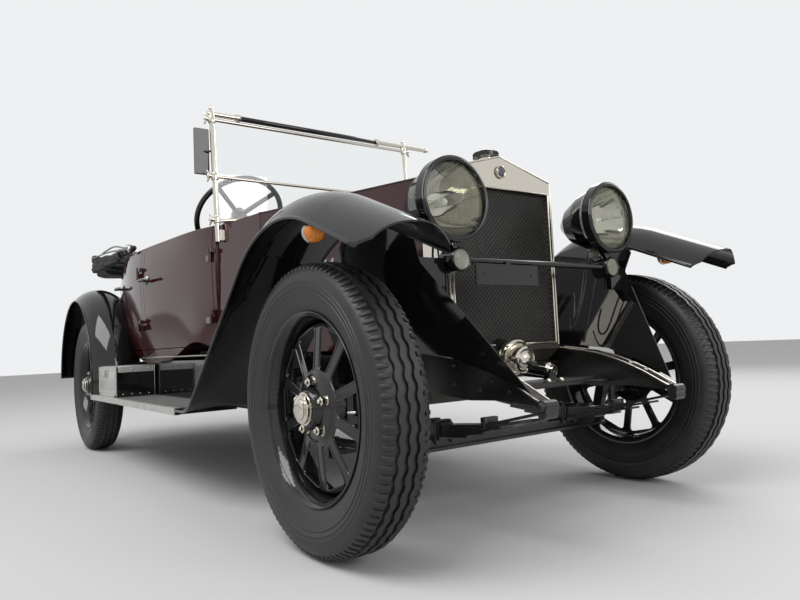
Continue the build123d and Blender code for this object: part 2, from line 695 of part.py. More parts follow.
val_pts = [
    (428, 424), (178, 800), (190, 868), (135, 915), (0, 935), (-150, 915), (-300, 830), (-470, 685),
    (-470, 545), (10, 540), (160, 524), (300, 480),
]
val_face = make_face(Polyline(*[val_point(x, z) for x, z in val_pts], close=True))
valance = extrude(val_face.face(), 3)
ledge = block(-880, -470, 370, wing_in_y + 1, 554, 558)
side_up = side_plate([(-470, 557), (-470, 690), (-625, 557)], wing_in_y + 1, wing_in_y - 3)
side_down = side_plate([(-630, 555), (-880, 356), (-880, 555)], wing_in_y + 1, wing_in_y - 3)
strip = block(-600, -20, 300, 372, rail_top_z, rail_top_z + 4)
wing_side = joined([wing, valance, ledge, strip, side_up, side_down])
save([wing_side, mirrored(wing_side)], "front_wings")

rear_wing_c = (-2990, 440)
rear_wing_r = 500
rear_dome = 72
a0 = math.asin((foot_z - rear_wing_c[1]) / rear_wing_r)
a1 = math.radians(180)


def on_ring(a):
    return at(rear_wing_c[0] + rear_wing_r * math.cos(a), rear_wing_c[1] + rear_wing_r * math.sin(a))


rear_path = ThreePointArc(on_ring(a0), on_ring((a0 + a1) / 2), on_ring(a1))
rear_plane = Plane(origin=on_ring(a0), x_dir=(0, -1, 0), z_dir=(-math.sin(a0), 0, math.cos(a0)))
rear_wing = sweep(arch_face(rear_plane, rear_dome, wing_half), path=rear_path)
fill_w = wing_half + 9
fill_pts = [(-fill_w, -30), (-fill_w, 5), (0, rear_dome + 1), (fill_w, 5), (fill_w, -30)]
fill_face = make_face(rear_plane * (ThreePointArc(fill_pts[1], fill_pts[2], fill_pts[3])
                                    + Polyline(fill_pts[3], fill_pts[4], fill_pts[0], fill_pts[1])))
rear_fill = sweep(fill_face, path=rear_path)
bead_plane = Plane(origin=on_ring(a0) + Vector(0, wing_half, 0), z_dir=rear_plane.z_dir)
rear_wing = rear_wing + sweep(bead_plane * Circle(bead_r), path=Pos(0, wing_half, 0) * rear_path)
house = Pos(car(rear_wing_c[0]), 556, rear_wing_c[1]) * Rot(90, 0, 0) * Cylinder(rear_wing_r + 11.4, 4)
house = house - block(-4000, -2000, 500, 600, -200, 452)
rear_wing = rear_wing + house - outside
save([rear_wing, mirrored(rear_wing)], "rear_wings")

# running boards with side aprons
boards = []
arm_z = board_top_z - board_t - 12
for side in (1, -1):
    b = block(-960, -2520, side * (wing_in_y + 20), side * wing_out_y, board_top_z - board_t, board_top_z)
    apron = block(-900, -2440, side * 584, side * 588, board_top_z + 12, 538)
    ledge = block(-900, -2440, side * 345, side * 588, 535, 539)
    b = b + apron + ledge + block(-970, -2440, side * 584, side * 588, board_top_z - 1, 400)
    for x in (-1250, -2150):
        b = b + block(x - 15, x + 15, side * 345, side * 700, arm_z, arm_z + 13)
        b = b + block(x - 15, x + 15, side * 345, side * 352, arm_z, 470)
    fill = rear_fill if side > 0 else mirrored(rear_fill)
    boards.append(b - fill - outside)
save(boards, "running_boards")

# toolbox on the right board
box_x = (-2395, -2000)
box_y = (-790, -600)
box_top = 520
box_wall = 4
toolbox = block(box_x[0], box_x[1], box_y[0], box_y[1], board_top_z, box_top)
toolbox = toolbox - block(box_x[0] + box_wall, box_x[1] - box_wall, box_y[0] - 5, box_y[1] - box_wall,
                          board_top_z + box_wall, box_top - box_wall)
box_hinge = (box_y[0] - 5, board_top_z + 6)
lug_x = ((box_x[0] + 17, box_x[0] + 29), (box_x[1] - 29, box_x[1] - 17))
toolbox = toolbox + rod((lug_x[0][0], *box_hinge), (lug_x[1][1], *box_hinge), 2.5)
for x0, x1 in lug_x:
    toolbox = toolbox + block(x0, x1, box_hinge[0] - 4, box_y[0] + 3, board_top_z, board_top_z + 10)
save(toolbox, "toolbox")
door_face = (box_y[0] - 5, box_y[0] - 1)
box_door = block(box_x[0], box_x[1], door_face[0], door_face[1], board_top_z + 5, box_top)
box_door = box_door + block(-2215, -2180, door_face[0] - 8, door_face[0], box_top - 60, box_top - 12)
box_door = box_door + rod((lug_x[0][1] + 1, *box_hinge), (lug_x[1][0] - 1, *box_hinge), 4)
box_door = box_door - rod((box_x[0] - 5, *box_hinge), (box_x[1] + 5, *box_hinge), 2.5 + running_fit)
for x0, x1 in lug_x:
    box_door = box_door - block(x0 - 1, x1 + 1, box_hinge[0] - 6, box_y[0], board_top_z, board_top_z + 16)
save(box_door, "toolbox_door")

# lamps
lamp_x = 222
lamp_y = 360
lamp_z = 982
rim_r = 126
bowl_depth = 215
lamps = []
lenses = []
for side in (1, -1):
    pts = [
        (0, -bowl_depth), (30, -bowl_depth + 6), (70, -bowl_depth + 50), (100, -bowl_depth + 110), (116, -50),
        (rim_r, -34), (rim_r, -4), (112, 0), (112, -22), (96, -60), (60, -150), (0, -180),
    ]
    face = make_face(Polyline(*pts, close=True))
    bowl = Pos(car(lamp_x), side * lamp_y, lamp_z) * Rot(0, 0, -90) * revolve(face, Axis.Y)
    post = rod((lamp_x - 75, side * lamp_y, lamp_z - 100), (lamp_x - 22, side * 352, 806), 12)
    lamp = bowl + post
    drum = rod((lamp_x - 70, side * 350, 806), (lamp_x - 12, side * 350, 806), 34)
    lamps.append(lamp + drum)
    lens_pts = [(0, -14), (112, -20), (112, -12), (70, -3), (0, 2)]
    lens = revolve(make_face(Polyline(*lens_pts, close=True)), Axis.Y)
    lenses.append(Pos(car(lamp_x), side * lamp_y, lamp_z) * Rot(0, 0, -90) * lens)
    lenses.append(rod((lamp_x - 12, side * 350, 806), (lamp_x - 5, side * 350, 806), 29))
bar = rod((lamp_x - 22, -400, 806), (lamp_x - 22, 400, 806), 9)
plate = block(lamp_x - 12, lamp_x - 8, -295, -30, 734, 797)
plate = plate + block(lamp_x - 26, lamp_x - 8, -170, -150, 780, 806)
for y in (-262, -63):
    plate = plate - rod((lamp_x - 20, y, 765), (lamp_x, y, 765), 3.25)
lamp_set = joined(lamps + [bar, plate])
foot_z0 = 730
foot_z1 = 812
foot_pts = [(386, foot_z0), (val_y(foot_z0) - 1, foot_z0), (val_y(foot_z1) - 1, foot_z1), (386, foot_z1)]
foot = extrude(cross_face(150, foot_pts), 30)
foot = foot + block(165, lamp_x - 22, 386, 398, 797, 811)
lamp_set = joined([lamp_set, foot, mirrored(foot)]) - wing_side - mirrored(wing_side)
save(lamp_set, "lamp_set")
save(lenses, "lamp_lenses")

# horn and starting handle boss
horn = rod((20, -34, 531), (100, -34, 510), 44) + rod((96, -34, 511), (132, -34, 502), 33)
crank = rod((60, -10, 486), (200, 16, 466), 22) + rod((196, 15, 467), (216, 19, 464), 17)
stay = block(198, 222, -16, 16, 430, 460)
save(joined([horn, crank, stay]) - radiator - core - frame_solid, "horn_and_crank")

# steering column and wheel
axis_dir = (-math.cos(ca), 0, math.sin(ca))
column_len = 950
low = on_column(column_len)
column = rod(low, on_column(22), 22) - rod(on_column(90), wc, 12.05)
steer_box = block(low[0] - 50, low[0] + 50, wc[1] - 34, wc[1] + 34, rail_top_z, low[2] + 40)
save(column + steer_box, "steering_column")
wheel_plane = Plane(origin=(car(wc[0]), wc[1], wc[2]), z_dir=axis_dir)
rim = wheel_plane * Torus(210, 13)
hub = wheel_plane * Pos(0, 0, 5) * Cylinder(34, 36)
parts = [rim, hub]
for i in range(4):
    spoke = wheel_plane * Rot(0, 0, 45 + 90 * i) * Pos(105, 0, 4) * Box(190, 22, 9)
    parts.append(spoke)
shaft_end = on_column(80)
parts.append(rod(shaft_end, wc, 12))
save(joined(parts), "steering_wheel")
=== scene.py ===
import bpy
import bmesh
import math
from mathutils import Matrix, Vector


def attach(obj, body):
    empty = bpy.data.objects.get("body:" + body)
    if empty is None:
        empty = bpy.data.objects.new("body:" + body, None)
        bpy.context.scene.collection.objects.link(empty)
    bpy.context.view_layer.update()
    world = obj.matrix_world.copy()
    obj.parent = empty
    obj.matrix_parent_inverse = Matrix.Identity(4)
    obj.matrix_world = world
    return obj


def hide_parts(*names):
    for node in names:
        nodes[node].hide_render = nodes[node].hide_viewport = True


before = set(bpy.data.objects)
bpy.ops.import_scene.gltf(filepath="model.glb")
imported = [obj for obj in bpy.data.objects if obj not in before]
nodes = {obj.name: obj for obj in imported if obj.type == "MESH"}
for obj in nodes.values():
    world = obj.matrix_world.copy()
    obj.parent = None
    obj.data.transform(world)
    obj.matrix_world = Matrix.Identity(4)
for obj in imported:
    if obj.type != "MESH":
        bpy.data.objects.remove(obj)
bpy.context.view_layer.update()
print("frame loaded:", len(nodes), "nodes")


# shader helpers
def plug(node, sockets):
    # inputs get values, or links where an output is given
    for key, v in sockets.items():
        if isinstance(v, bpy.types.NodeSocket):
            node.id_data.links.new(v, node.inputs[key])
        else:
            node.inputs[key].default_value = v
    return node


def addNode(tree, kind, sockets, **settings):
    node = tree.nodes.new("ShaderNode" + kind)
    for key, v in settings.items():
        setattr(node, key, v)
    return plug(node, sockets)


def noiseNode(tree, vector, scale, detail=4.0, rough=0.55):
    return addNode(tree, "TexNoise", {"Vector": vector, "Scale": scale, "Detail": detail,
                                      "Roughness": rough}).outputs["Fac"]


def waveNode(tree, vector, direction, scale, distortion=0.0, detail=2.0):
    return addNode(tree, "TexWave", {"Vector": vector, "Scale": scale, "Distortion": distortion, "Detail": detail},
                   bands_direction=direction).outputs["Fac"]


def rampNode(tree, value, low, high, toLow=0.0, toHigh=1.0):
    return addNode(tree, "MapRange", {"Value": value, "From Min": low, "From Max": high,
                                      "To Min": toLow, "To Max": toHigh}, clamp=True).outputs["Result"]


def mathNode(tree, kind, a, b):
    return addNode(tree, "Math", {0: a, 1: b}, operation=kind).outputs[0]


def mixColor(tree, part, a, b):
    return addNode(tree, "Mix", {0: part, 6: a, 7: b}, data_type="RGBA").outputs[2]


def mixValue(tree, part, a, b):
    return addNode(tree, "Mix", {0: part, 2: a, 3: b}).outputs[0]


def objectCoord(mat):
    return mat.node_tree.nodes.new("ShaderNodeTexCoord").outputs["Object"]


def feed(mat, sockets):
    plug(mat.node_tree.nodes["Principled BSDF"], sockets)


def newMaterial(name, sockets):
    mat = bpy.data.materials.new(name)
    mat.use_nodes = True
    feed(mat, sockets)
    return mat


def bumpInto(mat, height, strength, distance):
    bump = addNode(mat.node_tree, "Bump", {"Height": height, "Strength": strength, "Distance": distance})
    feed(mat, {"Normal": bump.outputs["Normal"]})


# stage: camera at the photograph's place, pale floor, soft light
stage = {
    "cameraPlace": (3.1770, -1.6078, 0.5684),
    "cameraRight": (0.58547, 0.80941, -0.04561),
    "cameraUp": (0.08141, -0.00273, 0.99668),
    "cameraForward": (-0.80659, 0.58724, 0.06750),
    "lens": 29.69,
    "floorSize": 60.0,
    "floorDrop": -0.0005,
    "floorColor": (0.60, 0.60, 0.60, 1),
    "backColor": (0.86, 0.87, 0.88, 1),
    "worldFill": 0.55,
    # name: place, aim, size, power
    "lamps": {
        "keyLamp": ((1.5, -4.5, 6.5), (0, 0, 0.5), (6.0, 4.0), 400.0),
        "sideLamp": ((-1.0, 6.0, 5.0), (0, 0, 0.6), (7.0, 3.0), 215.0),
        "frontLamp": ((7.5, 1.0, 3.2), (0, 0, 0.8), (4.0, 2.5), 120.0),
    },
}


def makeCamera(s):
    data = bpy.data.cameras.new("photoCamera")
    data.sensor_width = 36
    data.lens = s["lens"]
    data.clip_end = 200
    cam = bpy.data.objects.new("photoCamera", data)
    bpy.context.scene.collection.objects.link(cam)
    right, up, forward = Vector(s["cameraRight"]), Vector(s["cameraUp"]), Vector(s["cameraForward"])
    turn = Matrix((right, up, -forward)).transposed().to_4x4()
    cam.matrix_world = Matrix.Translation(Vector(s["cameraPlace"])) @ turn
    bpy.context.scene.camera = cam


def makeWorld(s):
    # seen, glossy and clear rays meet the pale wall, the others the soft fill
    world = bpy.data.worlds.new("studio")
    world.use_nodes = True
    bpy.context.scene.world = world
    tree = world.node_tree
    tree.nodes.clear()
    fill = addNode(tree, "Background", {"Color": (1, 1, 1, 1), "Strength": s["worldFill"]})
    wall = addNode(tree, "Background", {"Color": s["backColor"], "Strength": 1})
    rays = tree.nodes.new("ShaderNodeLightPath").outputs
    seen = rays["Is Camera Ray"]
    for kind in ("Is Glossy Ray", "Is Transmission Ray"):
        seen = addNode(tree, "Math", {0: seen, 1: rays[kind]}, operation="ADD", use_clamp=True).outputs[0]
    mix = addNode(tree, "MixShader", {0: seen, 1: fill.outputs[0], 2: wall.outputs[0]})
    addNode(tree, "OutputWorld", {"Surface": mix.outputs[0]})


def makeFloor(s):
    bpy.ops.object.select_all(action="DESELECT")
    bpy.ops.mesh.primitive_plane_add(size=s["floorSize"], location=(0, 0, s["floorDrop"]))
    floor = bpy.context.object
    floor.name = "studioFloor"
    bpy.ops.object.transform_apply(location=True, rotation=True, scale=True)
    floor.data.materials.append(newMaterial("studioFloor", {
        "Base Color": s["floorColor"], "Roughness": 0.85, "Specular IOR Level": 0.2}))


def makeLamp(name, place, aim, size, power):
    data = bpy.data.lights.new(name, "AREA")
    data.shape = "RECTANGLE"
    data.size, data.size_y = size
    data.energy = power
    lamp = bpy.data.objects.new(name, data)
    lamp.location = place
    lamp.rotation_euler = (Vector(aim) - Vector(place)).to_track_quat("-Z", "Y").to_euler()
    bpy.context.scene.collection.objects.link(lamp)


bpy.context.scene.view_settings.view_transform = "Standard"
makeCamera(stage)
makeWorld(stage)
makeFloor(stage)
for name, row in stage["lamps"].items():
    makeLamp(name, *row)
print("stage made")


# shared effects, as node groups
def newGroup(name, ins, outs):
    # ins: label to default, where a tuple is a colour
    tree = bpy.data.node_groups.new(name, "ShaderNodeTree")
    for label, v in ins.items():
        kind = "NodeSocketColor" if isinstance(v, tuple) else "NodeSocketFloat"
        tree.interface.new_socket(name=label, in_out="INPUT", socket_type=kind).default_value = v
    for label in outs:
        kind = "NodeSocketColor" if label == "Color" else "NodeSocketFloat"
        tree.interface.new_socket(name=label, in_out="OUTPUT", socket_type=kind)
    place = addNode(tree, "TexCoord", {}).outputs["Object"]
    return tree, tree.nodes.new("NodeGroupInput").outputs, tree.nodes.new("NodeGroupOutput"), place


def makeRoadDust():
    # dust that gathers low down and in soft patches
    tree, given, out, place = newGroup("roadDust", {
        "Clean Color": (0.02, 0.02, 0.02, 1), "Dust Color": (0.22, 0.19, 0.15, 1), "Amount": 0.3, "Reach": 0.6,
        "Patch Scale": 7.0, "Clean Roughness": 0.1, "Dusty Roughness": 0.6}, ["Color", "Roughness", "Mask"])
    height = addNode(tree, "SeparateXYZ", {0: place}).outputs["Z"]
    patches = rampNode(tree, noiseNode(tree, place, given["Patch Scale"], 6.0, 0.65), 0.38, 0.72)
    grains = rampNode(tree, noiseNode(tree, place, 160.0, 3.0, 0.6), 0.45, 0.8)
    mask = mathNode(tree, "MULTIPLY", patches, rampNode(tree, height, 0.0, given["Reach"], 1.0, 0.18))
    mask = mathNode(tree, "ADD", mask, mathNode(tree, "MULTIPLY", grains, 0.25))
    mask = mathNode(tree, "MULTIPLY", mask, given["Amount"])
    plug(out, {
        "Color": mixColor(tree, mask, given["Clean Color"], given["Dust Color"]),
        "Roughness": mixValue(tree, mask, given["Clean Roughness"], given["Dusty Roughness"]),
        "Mask": mask})
    return tree


def makeHandMottle():
    # slow tone change and a fine grain, for paint, metal and rubber
    tree, given, out, place = newGroup(
        "handMottle", {"Slow Scale": 3.0, "Fine Scale": 300.0, "Slow Part": 0.6}, ["Value", "Fine"])
    slow = noiseNode(tree, place, given["Slow Scale"], 3.0, 0.5)
    fine = noiseNode(tree, place, given["Fine Scale"], 2.0, 0.6)
    plug(out, {"Value": mixValue(tree, given["Slow Part"], fine, slow), "Fine": fine})
    return tree


roadDust = makeRoadDust()
handMottle = makeHandMottle()


def placeGroup(mat, group, sockets):
    node = mat.node_tree.nodes.new("ShaderNodeGroup")
    node.node_tree = group
    return plug(node, sockets).outputs


def dusted(mat, clean, dust, amount, reach, patch, rough, dustRough):
    return placeGroup(mat, roadDust, {
        "Clean Color": (*clean, 1), "Dust Color": (*dust, 1), "Amount": amount, "Reach": reach, "Patch Scale": patch,
        "Clean Roughness": rough, "Dusty Roughness": dustRough})


def mottled(mat, slow, fine, part):
    return placeGroup(mat, handMottle, {"Slow Scale": slow, "Fine Scale": fine, "Slow Part": part})["Value"]


def dustyPaint(name, row):
    dustRow, slow, fine, bump, bumpDepth, metallic, coat = row
    mat = newMaterial(name, {"Metallic": metallic, "Coat Weight": coat, "Coat Roughness": 0.03})
    outs = dusted(mat, *dustRow)
    feed(mat, {"Base Color": outs["Color"], "Roughness": outs["Roughness"]})
    bumpInto(mat, mottled(mat, slow, fine, 0.5), bump, bumpDepth)
    return mat


# columns: (clean colour, dust colour, dust amount, its reach upwards, patch scale, clean and dusty roughness),
# slow and fine grain scale, bump strength and depth, metallic, coat
paints = {
    "wingBlack": (((0.006, 0.006, 0.0065), (0.20, 0.18, 0.15), 0.035, 0.6, 5.0, 0.06, 0.3),
                  6.0, 90.0, 0.05, 0.002, 0.0, 0.1),
    "lampBlack": (((0.005, 0.005, 0.0055), (0.16, 0.15, 0.13), 0.03, 0.9, 14.0, 0.05, 0.3),
                  12.0, 160.0, 0.04, 0.001, 0.0, 0.1),
    "wheelBlack": (((0.006, 0.006, 0.007), (0.16, 0.14, 0.11), 0.07, 0.9, 18.0, 0.11, 0.45),
                   14.0, 200.0, 0.08, 0.001, 0.0, 0.1),
    "chassisBlack": (((0.009, 0.009, 0.009), (0.14, 0.12, 0.10), 0.16, 0.7, 9.0, 0.20, 0.6),
                     20.0, 240.0, 0.2, 0.002, 0.0, 0.0),
    "bodyMaroon": (((0.036, 0.0050, 0.0056), (0.20, 0.15, 0.12), 0.025, 0.9, 4.0, 0.08, 0.3),
                   3.2, 110.0, 0.12, 0.003, 0.0, 0.15),
    "engineIron": (((0.09, 0.088, 0.082), (0.10, 0.07, 0.045), 0.7, 1.2, 12.0, 0.55, 0.85),
                   30.0, 350.0, 0.5, 0.003, 0.4, 0.0),
    "exhaustSteel": (((0.14, 0.10, 0.075), (0.16, 0.07, 0.03), 0.9, 1.5, 22.0, 0.5, 0.9),
                     30.0, 260.0, 0.5, 0.002, 0.6, 0.0),
    "brightNickel": (((0.66, 0.62, 0.54), (0.30, 0.27, 0.22), 0.22, 1.3, 11.0, 0.10, 0.38),
                     9.0, 260.0, 0.05, 0.001, 1.0, 0.0),
    "dullNickel": (((0.48, 0.46, 0.41), (0.22, 0.20, 0.17), 0.5, 1.3, 16.0, 0.25, 0.55),
                   20.0, 300.0, 0.12, 0.001, 1.0, 0.0),
    "boxAluminium": (((0.60, 0.60, 0.58), (0.33, 0.30, 0.26), 0.55, 1.2, 20.0, 0.33, 0.62),
                     18.0, 220.0, 0.25, 0.0015, 0.85, 0.0),
    "boardRubber": (((0.10, 0.10, 0.10), (0.27, 0.25, 0.22), 0.6, 1.0, 8.0, 0.6, 0.85),
                    12.0, 200.0, 0.25, 0.001, 0.0, 0.0),
    "controlBlack": (((0.012, 0.011, 0.010), (0.10, 0.08, 0.06), 0.2, 1.6, 25.0, 0.25, 0.5),
                     22.0, 280.0, 0.08, 0.001, 0.0, 0.0),
}


def makeBoardFinish():
    # worn grey tread on what faces up, black paint on the edges and the valance behind
    mat = dustyPaint("boardFinish", paints["wingBlack"])
    tree = mat.node_tree
    shader = tree.nodes["Principled BSDF"]
    black = shader.inputs["Base Color"].links[0].from_socket
    rough = shader.inputs["Roughness"].links[0].from_socket
    facing = addNode(tree, "SeparateXYZ", {0: tree.nodes.new("ShaderNodeNewGeometry").outputs["Normal"]})
    up = rampNode(tree, facing.outputs["Z"], 0.6, 0.8)
    scuffs = rampNode(tree, noiseNode(tree, objectCoord(mat), 14.0, 6.0, 0.7), 0.38, 0.70)
    worn = mixColor(tree, scuffs, (0.045, 0.045, 0.047, 1), (0.20, 0.195, 0.185, 1))
    feed(mat, {"Base Color": mixColor(tree, up, black, worn), "Roughness": mixValue(tree, up, rough, 0.62)})
    return mat


def makeTyreRubber():
    mat = newMaterial("tyreRubber", {})
    outs = dusted(mat, (0.0085, 0.0085, 0.0090), (0.050, 0.046, 0.040), 0.45, 1.0, 15.0, 0.42, 0.85)
    feed(mat, {"Base Color": outs["Color"], "Roughness": outs["Roughness"]})
    bumpInto(mat, mottled(mat, 25.0, 420.0, 0.3), 0.35, 0.001)
    return mat


def makeCoreLattice():
    # black cooling core, a close crossed lattice seen from the front, its gaps painted near black as shade inside the
    # openings
    mat = newMaterial("coreLattice", {"Metallic": 0.4})
    tree = mat.node_tree
    fins = []
    for turn in (45, -45):
        turned = addNode(tree, "Mapping", {"Vector": objectCoord(mat), "Rotation": (math.radians(turn), 0, 0)})
        fins.append(rampNode(tree, waveNode(tree, turned.outputs["Vector"], "Y", 26.0), 0.35, 0.85))
    lattice = mathNode(tree, "MAXIMUM", *fins)
    outs = dusted(mat, (0.03, 0.03, 0.028), (0.13, 0.11, 0.09), 0.35, 1.4, 9.0, 0.35, 0.7)
    # the gaps between the fins get a near-black colour: painted shade inside the core's openings
    base = mixColor(tree, lattice, (0.002, 0.002, 0.002, 1), outs["Color"])
    feed(mat, {"Base Color": base, "Roughness": outs["Roughness"]})
    bumpInto(mat, lattice, 0.9, 0.004)
    return mat


def makeLeather():
    mat = newMaterial("seatLeather", {})
    tree = mat.node_tree
    coord = objectCoord(mat)
    cells = addNode(tree, "TexVoronoi", {"Vector": coord, "Scale": 330.0}, feature="DISTANCE_TO_EDGE")
    worn = rampNode(tree, noiseNode(tree, coord, 8.0, 5.0, 0.6), 0.42, 0.7)
    creases = noiseNode(tree, coord, 45.0, 6.0, 0.7)
    feed(mat, {
        "Base Color": mixColor(tree, worn, (0.055, 0.022, 0.014, 1), (0.12, 0.055, 0.033, 1)),
        "Roughness": rampNode(tree, worn, 0.0, 1.0, 0.55, 0.36)})
    grain = mathNode(tree, "ADD", rampNode(tree, cells.outputs["Distance"], 0.0, 0.25),
                     mathNode(tree, "MULTIPLY", creases, 1.6))
    bumpInto(mat, grain, 0.35, 0.001)
    return mat


def makeHoodCloth():
    mat = newMaterial("hoodCloth", {"Sheen Weight": 0.04, "Sheen Roughness": 0.5, "Roughness": 0.82})
    tree = mat.node_tree
    coord = objectCoord(mat)
    fade = rampNode(tree, noiseNode(tree, coord, 5.0, 5.0, 0.6), 0.35, 0.75)
    feed(mat, {"Base Color": mixColor(tree, fade, (0.004, 0.004, 0.0045, 1), (0.014, 0.0135, 0.013, 1))})
    threads = [waveNode(tree, coord, direction, 210.0, 0.6, 1.0) for direction in ("X", "Z")]
    bumpInto(mat, mathNode(tree, "MAXIMUM", *threads), 0.25, 0.0008)
    return mat


def makeDashWood():
    mat = newMaterial("dashWood", {"Coat Weight": 0.7, "Coat Roughness": 0.08, "Roughness": 0.35})
    tree = mat.node_tree
    drawn = addNode(tree, "Mapping", {"Vector": objectCoord(mat), "Scale": (1.0, 1.4, 14.0)}).outputs["Vector"]
    pores = noiseNode(tree, drawn, 60.0, 3.0, 0.6)
    rings = mixColor(tree, waveNode(tree, drawn, "Z", 1.6, 7.0, 4.0), (0.065, 0.022, 0.009, 1), (0.19, 0.075, 0.03, 1))
    feed(mat, {"Base Color": mixColor(tree, rampNode(tree, pores, 0.58, 0.7), rings, (0.03, 0.01, 0.005, 1))})
    bumpInto(mat, pores, 0.08, 0.0005)
    return mat


def makeFloorCarpet():
    mat = newMaterial("floorCarpet", {"Sheen Weight": 0.3, "Roughness": 0.95})
    tree = mat.node_tree
    tuft = noiseNode(tree, objectCoord(mat), 600.0, 3.0, 0.8)
    wear = rampNode(tree, noiseNode(tree, objectCoord(mat), 6.0, 4.0, 0.6), 0.35, 0.7)
    base = mixColor(tree, wear, (0.045, 0.012, 0.010, 1), (0.085, 0.040, 0.030, 1))
    feed(mat, {"Base Color": mixColor(tree, mathNode(tree, "MULTIPLY", tuft, 0.6), base, (0.01, 0.004, 0.004, 1))})
    bumpInto(mat, tuft, 0.7, 0.003)
    return mat


def makeGlass(name, row):
    color, clear, ior, rough, smear, flutes, bump = row
    mat = newMaterial(name, {"Base Color": color, "Transmission Weight": clear, "IOR": ior})
    tree = mat.node_tree
    coord = objectCoord(mat)
    haze = noiseNode(tree, coord, 9.0, 5.0, 0.65)
    feed(mat, {"Roughness": rampNode(tree, haze, 0.4, 0.8, rough, rough + smear)})
    bumpInto(mat, waveNode(tree, coord, "Y", flutes) if flutes else haze, bump, 0.001)
    return mat


# columns: colour, transmission, index, roughness, smears, flutes, bump
glasses = {
    "screenGlass": ((0.95, 0.97, 0.96, 1), 1.0, 1.45, 0.0, 0.03, 0, 0.02),
    "lensGlass": ((0.96, 0.97, 0.95, 1), 1.0, 1.35, 0.0, 0.03, 22.0, 0.05),
    "amberGlass": ((0.85, 0.26, 0.02, 1), 0.35, 1.45, 0.12, 0.1, 30.0, 0.5),
}


def makeSpeckled(name, row):
    noise, spots, low, high, rough, sockets = row
    mat = newMaterial(name, sockets)
    tree = mat.node_tree
    speck = noiseNode(tree, objectCoord(mat), *noise)
    base = mixColor(tree, rampNode(tree, speck, *spots), low, high)
    feed(mat, {"Base Color": base, "Roughness": rampNode(tree, speck, *rough)})
    return mat


# columns: noise scale, detail and roughness; where the spots start and fill; two colours; roughness ramp; constants
speckled = {
    "reflectorSilver": ((18.0, 4.0, 0.6), (0.5, 0.8),
                        (0.46, 0.45, 0.38, 1), (0.30, 0.28, 0.20, 1), (0.2, 4.5), {"Metallic": 1.0}),
    "bulbGlass": ((60.0, 2.0, 0.5), (0, 1),
                  (0.80, 0.78, 0.70, 1), (0.95, 0.94, 0.90, 1), (-0.3, 3.5), {"IOR": 1.45}),
    "badgeEnamel": ((420.0, 3.0, 0.6), (0, 1),
                    (0.010, 0.012, 0.018, 1), (0.030, 0.034, 0.045, 1), (-1.0, 5.0), {"Coat Weight": 1.0}),
    "mirrorFace": ((55.0, 4.0, 0.6), (0.6, 0.8),
                   (0.9, 0.9, 0.9, 1), (0.55, 0.53, 0.5, 1), (0.4, 3.0), {"Metallic": 1.0}),
    "dialFace": ((90.0, 3.0, 0.6), (0, 1),
                 (0.42, 0.39, 0.31, 1), (0.62, 0.59, 0.50, 1), (-0.5, 2.0), {"Coat Weight": 0.8}),
}
mats = {name: dustyPaint(name, row) for name, row in paints.items()}
mats.update({name: makeGlass(name, row) for name, row in glasses.items()})
mats.update({name: makeSpeckled(name, row) for name, row in speckled.items()})
for mat in (makeBoardFinish(), makeTyreRubber(), makeCoreLattice(), makeLeather(), makeHoodCloth(), makeDashWood(),
            makeFloorCarpet()):
    mats[mat.name] = mat

# which finish goes on which node of the frame
nodeFinish = {
    "chassisBlack": ["chassis_frame", "axles", "leaf_springs", "fuel_tank", "knuckle_left", "knuckle_right", "tie_rod"],
    "engineIron": ["engine_block"],
    "exhaustSteel": ["exhaust"],
    "brightNickel": ["radiator_shell", "screen_frame"],
    "coreLattice": ["radiator_core"],
    "lampBlack": ["lamp_set", "filler_cap", "mirror", "horn_and_crank", "toolbox"],
    "wingBlack": ["front_wings", "rear_wings"],
    "boardFinish": ["running_boards"],
    "controlBlack": ["steering_column", "steering_wheel"],
    "wheelBlack": ["wheel_fl", "wheel_fr", "wheel_rl", "wheel_rr"],
    "bodyMaroon": ["bonnet_sides", "bonnet_top_left", "bonnet_top_right", "scuttle", "body_shell",
                   "door_front_left", "door_front_right", "door_rear_left", "door_rear_right"],
    "dashWood": ["dashboard"],
    "seatLeather": ["seats"],
    "hoodCloth": ["folded_hood"],
    "screenGlass": ["screen_glass"],
    "lensGlass": ["lamp_lenses"],
    "boxAluminium": ["toolbox_door"],
    "tyreRubber": ["tyre_fl", "tyre_fr", "tyre_rl", "tyre_rr"],
}
for finish, names in nodeFinish.items():
    for node in names:
        obj = nodes[node]
        obj.data.materials.clear()
        obj.data.materials.append(mats[finish])

print("finishes set:", len(mats))


# modelling helpers
def startPiece():
    if bpy.context.mode != "OBJECT":
        bpy.ops.object.mode_set(mode="OBJECT")
    bpy.ops.object.select_all(action="DESELECT")


def pick(obj):
    startPiece()
    obj.select_set(True)
    bpy.context.view_layer.objects.active = obj
    return obj


def settle(obj):
    # the finished piece's place goes into its mesh
    pick(obj)
    bpy.ops.object.transform_apply(location=True, rotation=True, scale=True)
    return obj


def modified(obj, kind, **settings):
    # one modifier, set and applied
    m = obj.modifiers.new(kind.lower(), kind)
    for key, v in settings.items():
        setattr(m, key, v)
    pick(obj)
    bpy.ops.object.modifier_apply(modifier=m.name)
    return obj


def softEdges(obj, width, segments=2, angle=35):
    return modified(obj, "BEVEL", width=width, segments=segments, limit_method="ANGLE",
                    angle_limit=math.radians(angle), harden_normals=False)


def subdivided(obj, cuts):
    pick(obj)
    bpy.ops.object.mode_set(mode="EDIT")
    bpy.ops.mesh.select_all(action="SELECT")
    bpy.ops.mesh.subdivide(number_cuts=cuts)
    bpy.ops.object.mode_set(mode="OBJECT")
    return obj


def vertsAndNormals(obj):
    # normals are copied before any move, since a move changes them
    normals = [v.normal.copy() for v in obj.data.vertices]
    return zip(obj.data.vertices, normals)


